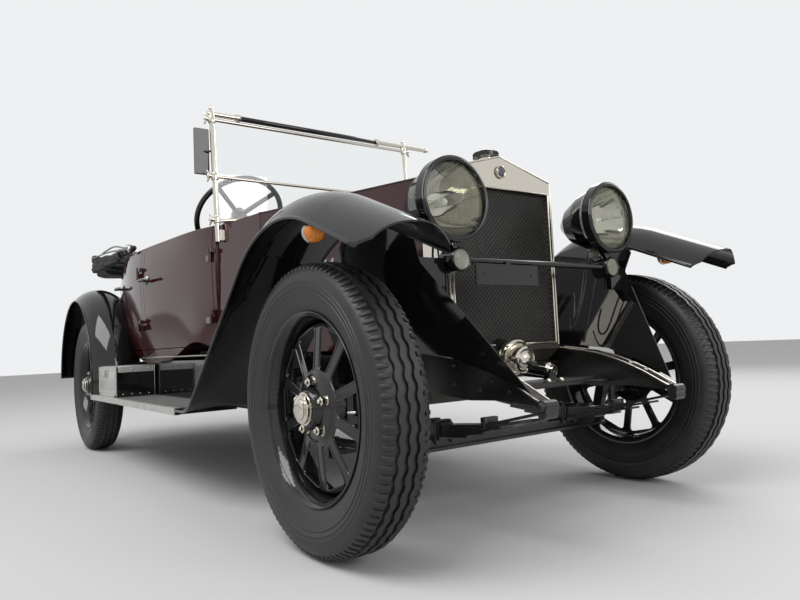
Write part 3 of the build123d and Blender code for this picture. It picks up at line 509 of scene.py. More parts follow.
def outward(obj):
    pick(obj)
    bpy.ops.object.mode_set(mode="EDIT")
    bpy.ops.mesh.select_all(action="SELECT")
    bpy.ops.mesh.remove_doubles(threshold=0.00002)
    bpy.ops.mesh.normals_make_consistent(inside=False)
    bpy.ops.object.mode_set(mode="OBJECT")
    return obj


def joinPieces(objs):
    startPiece()
    for o in objs:
        o.select_set(True)
    bpy.context.view_layer.objects.active = objs[0]
    bpy.ops.object.join()
    return bpy.context.object


def dress(bits, name, finish, smooth=35, body="car_body"):
    # joins the bits, names the piece, gives it its finish, and sets its body
    obj = joinPieces(bits) if isinstance(bits, list) else bits
    obj.name = name
    obj.data.name = name
    obj.data.materials.clear()
    obj.data.materials.append(mats[finish])
    pick(obj)
    bpy.ops.object.shade_smooth_by_angle(angle=math.radians(smooth))
    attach(obj, body)
    return obj


def boxPiece(low, high):
    # a box from corner to corner, in metres
    startPiece()
    mid = [(a + b) / 2 for a, b in zip(low, high)]
    bpy.ops.mesh.primitive_cube_add(size=1, location=mid)
    obj = bpy.context.object
    obj.scale = [abs(b - a) for a, b in zip(low, high)]
    return settle(obj)


def rodPiece(start, end, radius, sides=24, tip=None):
    # a straight rod or cone between two points
    startPiece()
    a, b = Vector(start), Vector(end)
    bpy.ops.mesh.primitive_cone_add(vertices=sides, radius1=radius, radius2=radius if tip is None else tip,
                                    depth=(b - a).length)
    obj = bpy.context.object
    obj.rotation_mode = "QUATERNION"
    obj.rotation_quaternion = (b - a).to_track_quat("Z", "Y")
    obj.location = (a + b) / 2
    return settle(obj)


def rodLoop(corners, radius, sides):
    return [rodPiece(a, c, radius, sides) for a, c in zip(corners, corners[1:] + corners[:1])]


def ballPiece(place, radius, segments, rings):
    startPiece()
    bpy.ops.mesh.primitive_uv_sphere_add(radius=radius, segments=segments, ring_count=rings, location=place)
    return settle(bpy.context.object)


def turnedPiece(profile, centre, axis, steps=48, closed=False):
    # a profile of (radius, along) spun round an axis: one vertex, extruded point by point, then spun
    axis = Vector(axis).normalized()
    side = axis.orthogonal().normalized()
    c = Vector(centre)
    startPiece()
    bpy.ops.mesh.primitive_plane_add(size=0.01, location=(0, 0, 0))
    obj = bpy.context.object
    bpy.ops.object.mode_set(mode="EDIT")
    bpy.ops.mesh.select_mode(type="VERT")
    bpy.ops.mesh.select_all(action="SELECT")
    bpy.ops.mesh.merge(type="CENTER")
    here = Vector((0, 0, 0))
    for i, (r, along) in enumerate(profile):
        there = c + side * r + axis * along
        if i == 0:
            bpy.ops.transform.translate(value=there - here)
        else:
            bpy.ops.mesh.extrude_region_move(TRANSFORM_OT_translate={"value": there - here})
        here = there
    if closed:
        bpy.ops.mesh.select_all(action="SELECT")
        bm = bmesh.from_edit_mesh(obj.data)
        ends = [v for v in bm.verts if len(v.link_edges) == 1]
        for v in bm.verts:
            v.select_set(v in ends)
        bmesh.update_edit_mesh(obj.data)
        bpy.ops.mesh.edge_face_add()
    bpy.ops.mesh.select_all(action="SELECT")
    bpy.ops.mesh.spin(steps=steps, angle=math.tau, center=c, axis=axis)
    bpy.ops.object.mode_set(mode="OBJECT")
    return outward(obj)


def curvePiece(kind, points, cyclic=False, **settings):
    # a curve through or near its points, with its settings, made a mesh
    curve = bpy.data.curves.new("line", "CURVE")
    curve.dimensions = "3D"
    for key, v in settings.items():
        setattr(curve, key, v)
    line = curve.splines.new(kind)
    line.points.add(len(points) - 1)
    for p, co in zip(line.points, points):
        p.co = (*co, 1)
    line.use_cyclic_u = cyclic
    if kind == "NURBS":
        line.order_u = 3
        line.use_endpoint_u = True
        line.resolution_u = 6
    obj = bpy.data.objects.new("line", curve)
    bpy.context.scene.collection.objects.link(obj)
    pick(obj)
    bpy.ops.object.convert(target="MESH")
    return bpy.context.object


def bentRod(points, radius, sides=12):
    # a round bar or wire along points, its corners rounded by the curve itself
    return curvePiece("NURBS", points, bevel_depth=radius, bevel_resolution=max(1, sides // 4), use_fill_caps=True)


def copyPiece(obj, move=(0, 0, 0), turn=0.0, axis="Z", pivot=(0, 0, 0), flip=False):
    # a copy with its own mesh, moved, turned about a pivot or mirrored to the other side
    twin = obj.copy()
    twin.data = obj.data.copy()
    twin.parent = None
    bpy.context.scene.collection.objects.link(twin)
    m = Matrix.Translation(Vector(move))
    if turn:
        p = Vector(pivot)
        m = m @ Matrix.Translation(p) @ Matrix.Rotation(turn, 4, axis) @ Matrix.Translation(-p)
    if flip:
        m = Matrix.Scale(-1, 4, (0, 1, 0)) @ m
    twin.matrix_world = m
    settle(twin)
    return outward(twin) if flip else twin


def selectFaces(obj, test):
    # leaves obj in edit mode with the faces that pass the test selected
    pick(obj)
    bpy.ops.object.mode_set(mode="EDIT")
    bpy.ops.mesh.select_mode(type="FACE")
    bpy.ops.mesh.select_all(action="DESELECT")
    bm = bmesh.from_edit_mesh(obj.data)
    for f in bm.faces:
        f.select_set(test(f.calc_center_median(), f.normal))
    bmesh.update_edit_mesh(obj.data)


def hexNut(centre, axis, across, height):
    # nut, washer and the stud's end
    a = Vector(axis).normalized()
    c = Vector(centre)
    nut = rodPiece(c, c + a * height, across / 2 / math.cos(math.pi / 6), sides=6)
    softEdges(nut, across * 0.06, 2, 40)
    washer = rodPiece(c - a * 0.0004, c + a * height * 0.16, across * 0.66, sides=24)
    stub = rodPiece(c, c + a * (height * 1.35), across * 0.27, sides=16)
    softEdges(stub, across * 0.05, 1, 40)
    return joinPieces([nut, washer, stub])


# the radius of a pole, closed when points that meet are merged
pole = 0.00001


def domeBolt(centre, axis, radius):
    shape = [(radius * r, radius * high) for r, high in ((1, 0), (1, 0.18), (0.8, 0.5), (0.42, 0.7))]
    return turnedPiece(shape + [(pole, radius * 0.76)], centre, Vector(axis).normalized(), steps=14)


def surfaceY(node, x, z, side, skin=0.0):
    # where a level ray from the side first meets a CAD node
    hit, place, normal, index = nodes[node].ray_cast(Vector((x, side * 3.0, z)), Vector((0, -side, 0)))
    return place.y + side * skin if hit else None


def lineAlong(node, side, x0, x1, count, z, skin):
    # points on a node's side at one height
    xs = [x0 + (x1 - x0) * i / (count - 1) for i in range(count)]
    ys = [surfaceY(node, x, z, side, skin) for x in xs]
    return [(x, y, z) for x, y in zip(xs, ys) if y is not None]


print("helpers ready")

# tyres: a spun casing, zig-zag ribs, shoulder blocks and fine rings on the walls
tyre = {
    "radius": 0.405,
    "base": 0.3975,
    # the wall from the bead outwards, as (radius, half width), then rings, then the shoulder
    "lowWall": [(0.262, 0.0505), (0.270, 0.0515), (0.277, 0.0575), (0.287, 0.0625), (0.300, 0.0675),
                (0.315, 0.0722)],
    "rings": (0.322, 0.336, 0.349),
    "highWall": [(0.362, 0.0763), (0.374, 0.0730), (0.384, 0.0672), (0.3895, 0.0600)],
    "ribs": (-0.0285, 0.0, 0.0285),
    "ribWidth": 0.0165,
    "ribRoot": 0.002,
    "zigzag": 0.0052,
    "ribTeeth": 104,
    "block": ((-0.0066, 0.0445, 0.376), (0.0066, 0.0745, 0.4020)),
    "blockCount": 104,
}
# place, side and body of each wheel, and how far its spokes are turned
wheelPlaces = {
    "fl": ((1.5435, 0.693, 0.405), 1, "wheel_front_left", 7),
    "fr": ((1.5435, -0.693, 0.405), -1, "wheel_front_right", 0),
    "rl": ((-1.4065, 0.693, 0.405), 1, "wheel_rear_left", 13),
    "rr": ((-1.4065, -0.693, 0.405), -1, "wheel_rear_right", 4),
}


def makeCasing(t):
    base = t["base"]
    low, lowWidth = t["lowWall"][-1]
    wall = list(t["lowWall"])
    for r in t["rings"]:
        w = lowWidth + 0.0050 * math.sin(min(1.0, (r - low) / 0.037) * math.pi / 2)
        wall += [(r - 0.0022, w), (r - 0.0010, w + 0.0013), (r + 0.0010, w + 0.0013), (r + 0.0022, w)]
    half = wall + t["highWall"] + [(base - 0.0035, 0.050), (base - 0.0010, 0.030), (base, 0.012)]
    profile = half + [(base, 0.0)] + [(r, -w) for r, w in reversed(half)]
    return turnedPiece(profile, (0, 0, 0), (0, 1, 0), steps=96, closed=True)


def makeRib(t, y):
    # a circle whose points step sideways in pairs, drawn out to a band and thickened outwards
    inner = t["base"] - t["ribRoot"]
    startPiece()
    bpy.ops.mesh.primitive_circle_add(vertices=t["ribTeeth"] * 2, radius=inner, rotation=(math.pi / 2, 0, 0))
    rib = settle(bpy.context.object)
    bpy.ops.object.mode_set(mode="EDIT")
    bpy.ops.mesh.select_all(action="SELECT")
    bpy.ops.transform.translate(value=(0, y - t["ribWidth"] / 2, 0))
    bpy.ops.mesh.select_mode(type="VERT")
    bm = bmesh.from_edit_mesh(rib.data)
    ring = sorted(bm.verts, key=lambda v: math.atan2(v.co.z, v.co.x))
    for i, v in enumerate(ring):
        v.select_set(i % 4 in (0, 1))
    bm.select_flush_mode()
    bmesh.update_edit_mesh(rib.data)
    bpy.ops.transform.translate(value=(0, t["zigzag"], 0))
    bpy.ops.mesh.select_all(action="SELECT")
    bpy.ops.mesh.extrude_region_move(TRANSFORM_OT_translate={"value": (0, t["ribWidth"], 0)})
    bpy.ops.object.mode_set(mode="OBJECT")
    high = t["radius"] - 0.0003 - abs(y) * 0.035 - inner
    for offset in (1.0, -1.0):
        # the side that stands out depends on which way the band faces
        if max(math.hypot(v.co.x, v.co.z) for v in rib.data.vertices) < t["base"] + 0.001:
            outward(modified(rib, "SOLIDIFY", thickness=high, offset=offset, use_even_offset=False))
    return rib


def makeShoulder(t, side):
    # one block, shaped, then repeated round the casing
    (x0, y0, z0), (x1, y1, z1) = t["block"]
    block = boxPiece((x0, side * y0, z0), (x1, side * y1, z1))
    selectFaces(block, lambda c, n: n.z > 0.9)
    bpy.ops.transform.resize(value=(0.86, 0.72, 1))
    bpy.ops.transform.translate(value=(0, -side * 0.0045, 0))
    bpy.ops.object.mode_set(mode="OBJECT")
    selectFaces(block, lambda c, n: side * n.y > 0.5)
    bpy.ops.transform.translate(value=(0, 0, -0.0120))
    bpy.ops.object.mode_set(mode="OBJECT")
    softEdges(block, 0.0012, 1, 30)
    startPiece()
    bpy.ops.object.empty_add(location=(0, 0, 0), rotation=(0, math.tau / t["blockCount"], 0))
    step = bpy.context.object
    modified(block, "ARRAY", count=t["blockCount"], use_relative_offset=False,
             use_object_offset=True, offset_object=step)
    bpy.data.objects.remove(step)
    return block


def fitTyres(t):
    bits = [makeCasing(t)] + [makeRib(t, y) for y in t["ribs"]] + [makeShoulder(t, side) for side in (1, -1)]
    master = joinPieces(bits)
    for key, (place, out, body, turn) in wheelPlaces.items():
        piece = dress(copyPiece(master, move=place), "treadedTyre_" + key, "tyreRubber", body=body)
        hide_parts("tyre_" + key)
    bpy.data.objects.remove(master)


fitTyres(tyre)
print("tyres made")

# wheel trim: bright nuts, stepped hub cap and valve stem
hub = {
    "nutCircle": 0.072,
    "nutCount": 5,
    "nutAcross": 0.0235,
    "nutHeight": 0.020,
    "nutSeat": 0.0335,
    "capRadius": 0.0405,
    "capTip": 0.0292,
    "stem": ((0.225, 0.040), (0.205, 0.052), 0.0042, 0.0034),
}


def makeHub(h, turnDeg):
    bits = []
    for i in range(h["nutCount"]):
        a = math.radians(90 - turnDeg + i * 360 / h["nutCount"])
        c = (h["nutCircle"] * math.cos(a), h["nutSeat"], h["nutCircle"] * math.sin(a))
        bits.append(hexNut(c, (0, 1, 0), h["nutAcross"], h["nutHeight"]))
    r, tip = h["capRadius"], h["capTip"]
    bits.append(turnedPiece([
        (0.0455, 0.0655), (0.0455, 0.0685), (r + 0.0006, 0.0695), (r + 0.0006, 0.0765), (r - 0.002, 0.0785),
        (tip + 0.0025, 0.0787), (tip + 0.0006, 0.0798), (tip + 0.0006, 0.0845), (tip - 0.0015, 0.0860), (0.012, 0.0862),
        (pole, 0.0862)], (0, 0, 0), (0, 1, 0)))
    return joinPieces(bits)


def fitHubs(h):
    (x0, y0), (x1, y1), thick, tip = h["stem"]
    for key, (place, out, body, turn) in wheelPlaces.items():
        piece = makeHub(h, turn)
        piece.matrix_world = Matrix.Translation(Vector(place)) @ Matrix.Scale(out, 4, (0, 1, 0))
        settle(piece)
        if out < 0:
            outward(piece)
        dress(piece, "hubNickel_" + key, "brightNickel", body=body)
        x, y, z = place
        stem = rodPiece((x + x0, y + out * y0, z), (x + x1, y + out * y1, z), thick, 14, tip)
        dress(softEdges(stem, 0.0008, 2), "valveStem_" + key, "dullNickel", body=body)


fitHubs(hub)
print("hubs made")

# pressed wheels: rolled rim, deep barrel, ten spokes cut from a coned disc with rolled window edges
pressed = {
    "spokes": 10,
    "innerR": 0.1045,
    "outerR": 0.2225,
    "spokeHalf": 0.0125,
    "corner": (0.011, 0.024),
    "roll": 0.0026,
    # the disc's cone from its hub to its rim, as (radius, along)
    "cone": ((0.1040, 0.0250), (0.2230, 0.0150)),
    "rim": [(0.2680, 0.0560), (0.2668, 0.0575), (0.2645, 0.0575), (0.2622, 0.0555), (0.2590, 0.0525),
            (0.2520, 0.0440), (0.2455, 0.0300), (0.2415, 0.0100), (0.2400, -0.0200), (0.2425, -0.0480),
            (0.2500, -0.0535), (0.2640, -0.0565), (0.2680, -0.0560), (0.2680, -0.0508), (0.2562, -0.0503),
            (0.2562, -0.0200), (0.2480, -0.0080), (0.2480, 0.0080), (0.2562, 0.0200), (0.2562, 0.0503),
            (0.2680, 0.0508)],
    "hub": [(0.0195, 0.0660), (0.0440, 0.0660), (0.0495, 0.0635), (0.0530, 0.0585), (0.0595, 0.0400),
            (0.0640, 0.0375), (0.0850, 0.0350), (0.0895, 0.0325), (0.0970, 0.0262)],
    "back": [(0.2310, 0.0118), (0.2370, 0.0040), (0.2405, -0.0080), (0.2362, -0.0090), (0.2325, 0.0010),
             (0.2275, 0.0070), (0.2200, 0.0098), (0.1040, 0.0200), (0.0955, 0.0205), (0.0850, 0.0290),
             (0.0620, 0.0300), (0.0580, -0.0300), (0.0195, -0.0300)],
}


def windowOutline(w, steps=5):
    # rounded trapezoid between two spokes, as (sideways, radius) points
    halfIn = math.pi * w["innerR"] / w["spokes"] - w["spokeHalf"]
    halfOut = math.pi * w["outerR"] / w["spokes"] - w["spokeHalf"]
    corners = [(-halfIn, w["innerR"]), (halfIn, w["innerR"]), (halfOut, w["outerR"]), (-halfOut, w["outerR"])]
    points = []
    for i, c in enumerate(corners):
        here = Vector(c)
        before = (Vector(corners[i - 1]) - here).normalized()
        after = (Vector(corners[(i + 1) % 4]) - here).normalized()
        reach = w["corner"][0] if i < 2 else w["corner"][1]
        a, b = here + before * reach, here + after * reach
        for k in range(steps + 1):
            t = k / steps
            points.append(a * (1 - t) ** 2 + here * (2 * t * (1 - t)) + b * t ** 2)
    return points


def makePressedWheel(w):
    rim = turnedPiece(w["rim"], (0, 0, 0), (0, 1, 0), steps=96, closed=True)
    disc = turnedPiece(w["hub"] + list(w["cone"]) + w["back"], (0, 0, 0), (0, 1, 0), steps=96, closed=True)
    outline = windowOutline(w)
    cutter = curvePiece("POLY", [(x, r, 0) for x, r in outline], True, dimensions="2D", fill_mode="BOTH", extrude=0.08)
    cutter.rotation_euler = (math.pi / 2, 0, 0)
    settle(cutter)
    (r0, y0), (r1, y1) = w["cone"]
    slope = (y1 - y0) / (r1 - r0)
    edge = curvePiece("POLY", [(x, y0 + (math.hypot(x, r) - r0) * slope - 0.0004, r) for x, r in outline], True,
                      bevel_depth=w["roll"], bevel_resolution=2)
    cutters, edges = [], []
    for i in range(w["spokes"]):
        turn = math.tau * (i + 0.5) / w["spokes"]
        cutters.append(copyPiece(cutter, turn=turn, axis="Y"))
        edges.append(copyPiece(edge, turn=turn, axis="Y"))
    tool = outward(joinPieces(cutters))
    modified(outward(disc), "BOOLEAN", operation="DIFFERENCE", solver="EXACT", object=tool)
    for spare in (cutter, edge, tool):
        bpy.data.objects.remove(spare)
    return joinPieces([rim, disc] + edges)


def fitPressedWheels(w):
    master = makePressedWheel(w)
    for key, ((x, y, z), out, body, turn) in wheelPlaces.items():
        piece = copyPiece(master, move=(x, abs(y), z), turn=math.radians(turn), axis="Y", flip=out < 0)
        dress(piece, "pressedWheel_" + key, "wheelBlack", 40, body)
        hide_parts("wheel_" + key)
    bpy.data.objects.remove(master)


fitPressedWheels(pressed)
print("wheels pressed")

# lamps: reflector, bulb and rim line inside each big lamp, rings and lens dome on each sidelight
lamp = {
    "place": (1.7655, 0.360, 0.982),
    "rim": 0.126,
    "bowl": [(0.1105, -0.0225), (0.101, -0.045), (0.082, -0.082), (0.056, -0.118), (0.026, -0.142),
             (0.008, -0.146), (pole, -0.146)],
    "bulb": [(pole, -0.052), (0.006, -0.054), (0.0115, -0.062), (0.0135, -0.072), (0.0105, -0.086),
             (0.0085, -0.100), (0.0085, -0.143)],
    "ring": [(0.1235, -0.0045), (0.1215, -0.0012), (0.1165, 0.0004), (0.1135, -0.0010), (0.1128, -0.0045),
             (0.118, -0.0060)],
    "sidelight": (1.7555, 0.350, 0.806),
    "sideRing": [(0.0345, -0.010), (0.0362, -0.006), (0.0362, 0.002), (0.0335, 0.0055), (0.0300, 0.0050),
                 (0.0295, -0.002)],
    "sideBack": [(0.030, -0.060), (0.022, -0.068), (0.010, -0.072), (pole, -0.073)],
    "sideBowl": [(0.0296, 0.0010), (0.0200, 0.0013), (0.0100, 0.0009), (pole, 0.0006)],
    "sideDome": [(0.0298, 0.0015), (0.026, 0.0042), (0.018, 0.0062), (0.009, 0.0070), (pole, 0.0072)],
}


def makeLamps(l):
    reflectors, rims, bulbs, ticks = [], [], [], []
    x, out, z = l["place"]
    for s in (1, -1):
        c = (x, s * out, z)
        reflectors.append(modified(turnedPiece(l["bowl"], c, (1, 0, 0)), "SOLIDIFY", thickness=0.0012, offset=0))
        bulbs.append(turnedPiece(l["bulb"], c, (1, 0, 0), steps=24))
        rims.append(turnedPiece(l["ring"], c, (1, 0, 0), steps=64, closed=True))
        ticks.append(domeBolt((x - 0.018, c[1], z + l["rim"]), (0, 0, 1), 0.006))
        for dy in (-0.014, 0.014):
            y = c[1] + dy
            bar = boxPiece((x - 0.100, y - 0.003, z - 0.1335), (x - 0.052, y + 0.003, z - 0.112))
            ticks.append(softEdges(bar, 0.001, 1))
    dress(reflectors, "lampReflectors", "reflectorSilver", 60)
    dress(bulbs, "lampBulbs", "bulbGlass", 60)
    dress(rims, "lampRims", "lampBlack", 50)
    dress(ticks, "lampScrews", "dullNickel")


def makeSidelights(l):
    rings, domes, bowls = [], [], []
    x, out, z = l["sidelight"]
    for s in (1, -1):
        c = (x, s * out, z)
        rings.append(turnedPiece(l["sideRing"], c, (1, 0, 0), steps=40, closed=True))
        bowls.append(turnedPiece(l["sideBowl"], c, (1, 0, 0), steps=32))
        domes.append(turnedPiece(l["sideDome"], c, (1, 0, 0), steps=40))
        rings.append(turnedPiece(l["sideBack"], c, (1, 0, 0), steps=32))
    dress(rings, "sidelightRings", "lampBlack", 50)
    dress(domes, "sidelightDomes", "lensGlass", 60)
    dress(bowls, "sidelightBowls", "dialFace", 60)


# amber turn lamps under the front wings' outer edges
turnLamp = {
    "x": 1.680,
    "side": 0.790,
    "z": 0.868,
    "radius": 0.026,
    "length": 0.040,
    "axis": (1, 0, -0.12),
    # shares of the radius, and along: a share of the length for the glass
    "glass": [(1, 0), (1, 0.45), (0.92, 0.72), (0.68, 0.92), (0.35, 1), (0, 1.02)],
    "base": [(0, -0.020), (0.5, -0.020), (0.95, -0.010), (1.12, -0.002), (1.12, 0.004), (1, 0.006)],
}


def makeTurnLamps(t):
    glass, bases = [], []
    x, z, r, n = t["x"], t["z"], t["radius"], t["length"]
    dome = [(max(pole, r * share), n * along) for share, along in t["glass"]]
    base = [(max(pole, r * share), along) for share, along in t["base"]]
    for s in (1, -1):
        y = s * t["side"]
        glass.append(turnedPiece(dome, (x, y, z), t["axis"], steps=32))
        bases.append(turnedPiece(base, (x, y, z), t["axis"], steps=32))
        bases.append(rodPiece((x - 0.012, y, z + 0.004), (x - 0.012, y - s * 0.005, z + 0.045), 0.006, 14))
    dress(glass, "turnLampGlass", "amberGlass", 60)
    dress(bases, "turnLampBases", "dullNickel", 50)


makeLamps(lamp)
makeSidelights(lamp)
makeTurnLamps(turnLamp)
print("lamps made")

# radiator trim: bead round the core, rolled front edge, blank badge, ribs on the filler cap
radiator = {
    "front": 1.5855,
    "half": 0.250,
    "foot": 0.545,
    "eave": 1.131,
    "apex": 1.200,
    "coreHalf": 0.234,
    "coreLow": 0.552,
    "coreTop": 1.086,
    "bead": 0.0042,
    "edge": 0.0032,
    "badgeZ": 1.143,
    "badgeRing": [(0.0200, 0.0045), (0.0222, 0.0052), (0.0222, 0.0080), (0.0200, 0.0092), (0.0178, 0.0080),
                  (0.0172, 0.0056)],
    "badge": [(0.0180, 0.0054), (0.0160, 0.0068), (0.010, 0.0078), (pole, 0.0080)],
    "cap": (1.5205, 0, 1.208),
    "capRing": [(0.0445, 0.0000), (0.0462, 0.0015), (0.0462, 0.0048), (0.0445, 0.0062)],
    "capTop": [(0.0420, 0.0183), (0.0300, 0.0212), (0.0225, 0.0215), (0.0222, 0.0262), (0.0180, 0.0285),
               (pole, 0.0290)],
    "capRibs": 20,
}


def makeRadiatorTrim(r):
    x, h = r["front"], r["coreHalf"]
    corners = [(x, -h, r["coreLow"]), (x, h, r["coreLow"]), (x, h, r["coreTop"]), (x, -h, r["coreTop"])]
    bits = rodLoop(corners, r["bead"], 16) + [ballPiece(c, r["bead"], 16, 10) for c in corners]
    xe, he, eave = x - 0.001, r["half"] - 0.002, r["eave"] - 0.001
    edge = [(xe, -he, r["foot"]), (xe, -he, eave), (xe, 0, r["apex"] - 0.0025), (xe, he, eave), (xe, he, r["foot"])]
    bits += [rodPiece(a, c, r["edge"], 14) for a, c in zip(edge, edge[1:])]
    bits += [ballPiece(c, r["edge"], 14, 8) for c in edge[1:4]]
    badge = (x, 0, r["badgeZ"])
    bits.append(turnedPiece(r["badgeRing"], badge, (1, 0, 0), steps=40, closed=True))
    dress(bits, "radiatorBeads", "brightNickel", 50)
    dress(turnedPiece(r["badge"], badge, (1, 0, 0), steps=40), "badgeBlank", "badgeEnamel", 60)


def makeCapRibs(r):
    c = r["cap"]
    bits = [turnedPiece(r["capRing"], c, (0, 0, 1)), turnedPiece(r["capTop"], c, (0, 0, 1))]
    rib = boxPiece((c[0] + 0.0435, -0.0022, c[2] + 0.0065), (c[0] + 0.0462, 0.0022, c[2] + 0.0165))
    bits.append(softEdges(rib, 0.0006, 1))
    for i in range(1, r["capRibs"]):
        bits.append(copyPiece(rib, turn=i * math.tau / r["capRibs"], axis="Z", pivot=c))
    dress(bits, "fillerCapTrim", "lampBlack", 40)


makeRadiatorTrim(radiator)
makeCapRibs(radiator)
print("radiator trimmed")

# horn and starting-handle boss: nested bright rings, dome, end cap
horn = {
    "mouth": ((1.6435, -0.034, 0.510), (1.6755, -0.034, 0.502)),
    "rings": [(0.0589, -0.0192), (0.0615, -0.0132), (0.0615, 0.0000), (0.0589, 0.0054), (0.0554, 0.0058),
              (0.0528, 0.0024), (0.0482, 0.0024), (0.0462, 0.0072), (0.0449, 0.0074), (0.0446, 0.0312),
              (0.0455, 0.0384), (0.0409, 0.0442), (0.0346, 0.0444), (0.0317, 0.0408), (0.0284, 0.0414),
              (0.0238, 0.0492), (0.0145, 0.0546), (pole, 0.0564)],
    "boss": ((1.7395, 0.0158, 0.4665), (1.7595, 0.0190, 0.4638)),
    "bossRings": [(0.0226, -0.012), (0.0226, 0.0030), (0.0205, 0.0060), (0.0180, 0.0066), (0.0176, 0.0185),
                  (0.0150, 0.0208), (pole, 0.0212)],
}


def makeHorn(h):
    bits = []
    for line, rings, steps in ((h["mouth"], h["rings"], 48), (h["boss"], h["bossRings"], 36)):
        start, tip = Vector(line[0]), Vector(line[1])
        bits.append(turnedPiece(rings, start, (tip - start).normalized(), steps))
    bits += [domeBolt((1.7755, y, 0.437), (0.6, 0, 0.8), 0.008) for y in (-0.030, 0.030)]
    dress(bits, "hornRings", "brightNickel", 40)


makeHorn(horn)
print("horn made")

# number plate: blank, with a raised rim
plate = {"x": 1.7567, "low": (-0.291, 0.738), "high": (-0.034, 0.793), "rim": 0.0014}


def makePlate(p):
    x, (y0, z0), (y1, z1) = p["x"], p["low"], p["high"]
    corners = [(x, y0, z0), (x, y1, z0), (x, y1, z1), (x, y0, z1)]
    dress(rodLoop(corners, p["rim"], 8), "plateRim", "lampBlack")


makePlate(plate)
print("plate made")

# bonnet: raised louvre blades over the slots, catches, hinge lines, and the bead at the scuttle
bonnet = {
    "front": 1.4505,
    "rear": 0.6675,
    "sideRear": 0.6635,
    "frontHalf": 0.250,
    "sideRearHalf": 0.475,
    "rearHalf": 0.4751,
    "slotStart": 0.150,
    "slotPitch": 0.036,
    "slotCount": 14,
    "slotLow": 0.6865,
    "slotHigh": 0.9035,
    "bladeLength": 0.021,
    "bladeRise": 0.0085,
    "bladeEnd": 0.020,
    "catches": (0.20, 0.62),
    "catchZ": 0.600,
    "catch": [(0.017, 0), (0.017, 0.002), (0.013, 0.004), (0.0095, 0.005), (0.0095, 0.014), (0.012, 0.018),
              (0.010, 0.022), (pole, 0.023)],
}


def bonnetSide(b, along):
    # x and half width of the bonnet's side at a distance behind its front, and its lean
    run, spread = b["front"] - b["sideRear"], b["sideRearHalf"] - b["frontHalf"]
    return b["front"] - along, b["frontHalf"] + spread * along / run, math.atan2(spread, run)


def makeLouvres(b):
    length = b["bladeLength"]
    blade = subdivided(boxPiece((-length / 2, -0.001, b["slotLow"]), (length / 2, 0.0012, b["slotHigh"])), 5)
    for v in blade.data.vertices:
        back = (length / 2 - v.co.x) / length
        end = min(1.0, max(0.0, min(v.co.z - b["slotLow"], b["slotHigh"] - v.co.z) / b["bladeEnd"]))
        v.co.y += b["bladeRise"] * math.sin(back * math.pi / 2) * math.sin(end * math.pi / 2)
    softEdges(blade, 0.0006, 1, 50)
    for side, name in ((1, "Left"), (-1, "Right")):
        blades = []
        for i in range(b["slotCount"]):
            x, y, lean = bonnetSide(b, b["slotStart"] + i * b["slotPitch"])
            blades.append(copyPiece(blade, move=(x, y, 0), turn=-lean, axis="Z", flip=side < 0))
        dress(blades, "bonnetLouvres" + name, "bodyMaroon", 50)
    bpy.data.objects.remove(blade)


def makeBonnetFittings(b):
    for side, name, body in ((1, "Left", "bonnet_top_left"), (-1, "Right", "bonnet_top_right")):
        catches = []
        for along in b["catches"]:
            x, y, lean = bonnetSide(b, along)
            n = Vector((math.sin(lean), side * math.cos(lean), 0))
            d = Vector((-math.cos(lean), side * math.sin(lean), 0))
            c = Vector((x, side * y, b["catchZ"]))
            lever = rodPiece(c + n * 0.017 - d * 0.004, c + n * 0.022 + d * 0.052, 0.0055, 16, 0.0040)
            catches += [turnedPiece(b["catch"], c, n, steps=24), softEdges(lever, 0.0012, 2)]
        dress(catches, "bonnetCatches" + name, "brightNickel", 50)
        seam = rodPiece((b["front"] - 0.002, side * (b["frontHalf"] + 0.0008), 1.1275),
                        (b["rear"] + 0.002, side * (b["rearHalf"] + 0.0006), 1.1365), 0.0030, 12)
        dress(seam, "bonnetHinge" + name, "bodyMaroon", 50, body)
    x, half, foot, eave = 0.6625, 0.4768, 0.62, 1.139
    bead = [(x, -half, foot), (x, -half, eave), (x, 0, 1.2068), (x, half, eave), (x, half, foot)]
    dress([rodPiece(a, c, 0.0034, 12) for a, c in zip(bead, bead[1:])], "scuttleBead", "bodyMaroon", 50)


makeLouvres(bonnet)
makeBonnetFittings(bonnet)
print("bonnet fitted")

# body trim: leather roll along the top edge, bright sill strip, door handles
body = {
    "top": 1.1385,
    "rollRadius": 0.0075,
    "rollSkin": -0.009,
    "sill": (0.300, -0.905, 0.560),
    "sillRadius": 0.0055,
    # label, node, its ends and the body that carries it; a name that ends in _ takes left or right
    "stretches": [
        ("scuttleSide", "body_shell", 0.3165, 0.2975, "car_body"),
        ("frontDoor", "door_front_", 0.2895, -0.4395, "door_front_"),
        ("post", "body_shell", -0.4465, -0.4865, "car_body"),
        ("rearDoor", "door_rear_", -0.4935, -0.9335, "door_rear_"),
        ("rearSide", "body_shell", -0.9425, -1.790, "car_body"),
    ],
    "handles": [("door_front_", -0.3965, 0.634), ("door_rear_", -0.8915, 0.640)],
    "handleZ": 0.965,
    "tip": [(0.0082, -0.030), (0.0098, -0.027), (0.0100, -0.006), (0.0088, 0.004), (0.005, 0.0075),
            (pole, 0.008)],
    "rose": [(0.026, -0.002), (0.026, 0.0015), (0.022, 0.0045), (0.013, 0.0070), (0.0095, 0.0120),
             (0.0085, 0.0125)],
    "lever": [(0.0082, -0.010), (0.0098, 0.000), (0.0092, 0.030), (0.0084, 0.070), (0.0084, 0.104)],
}


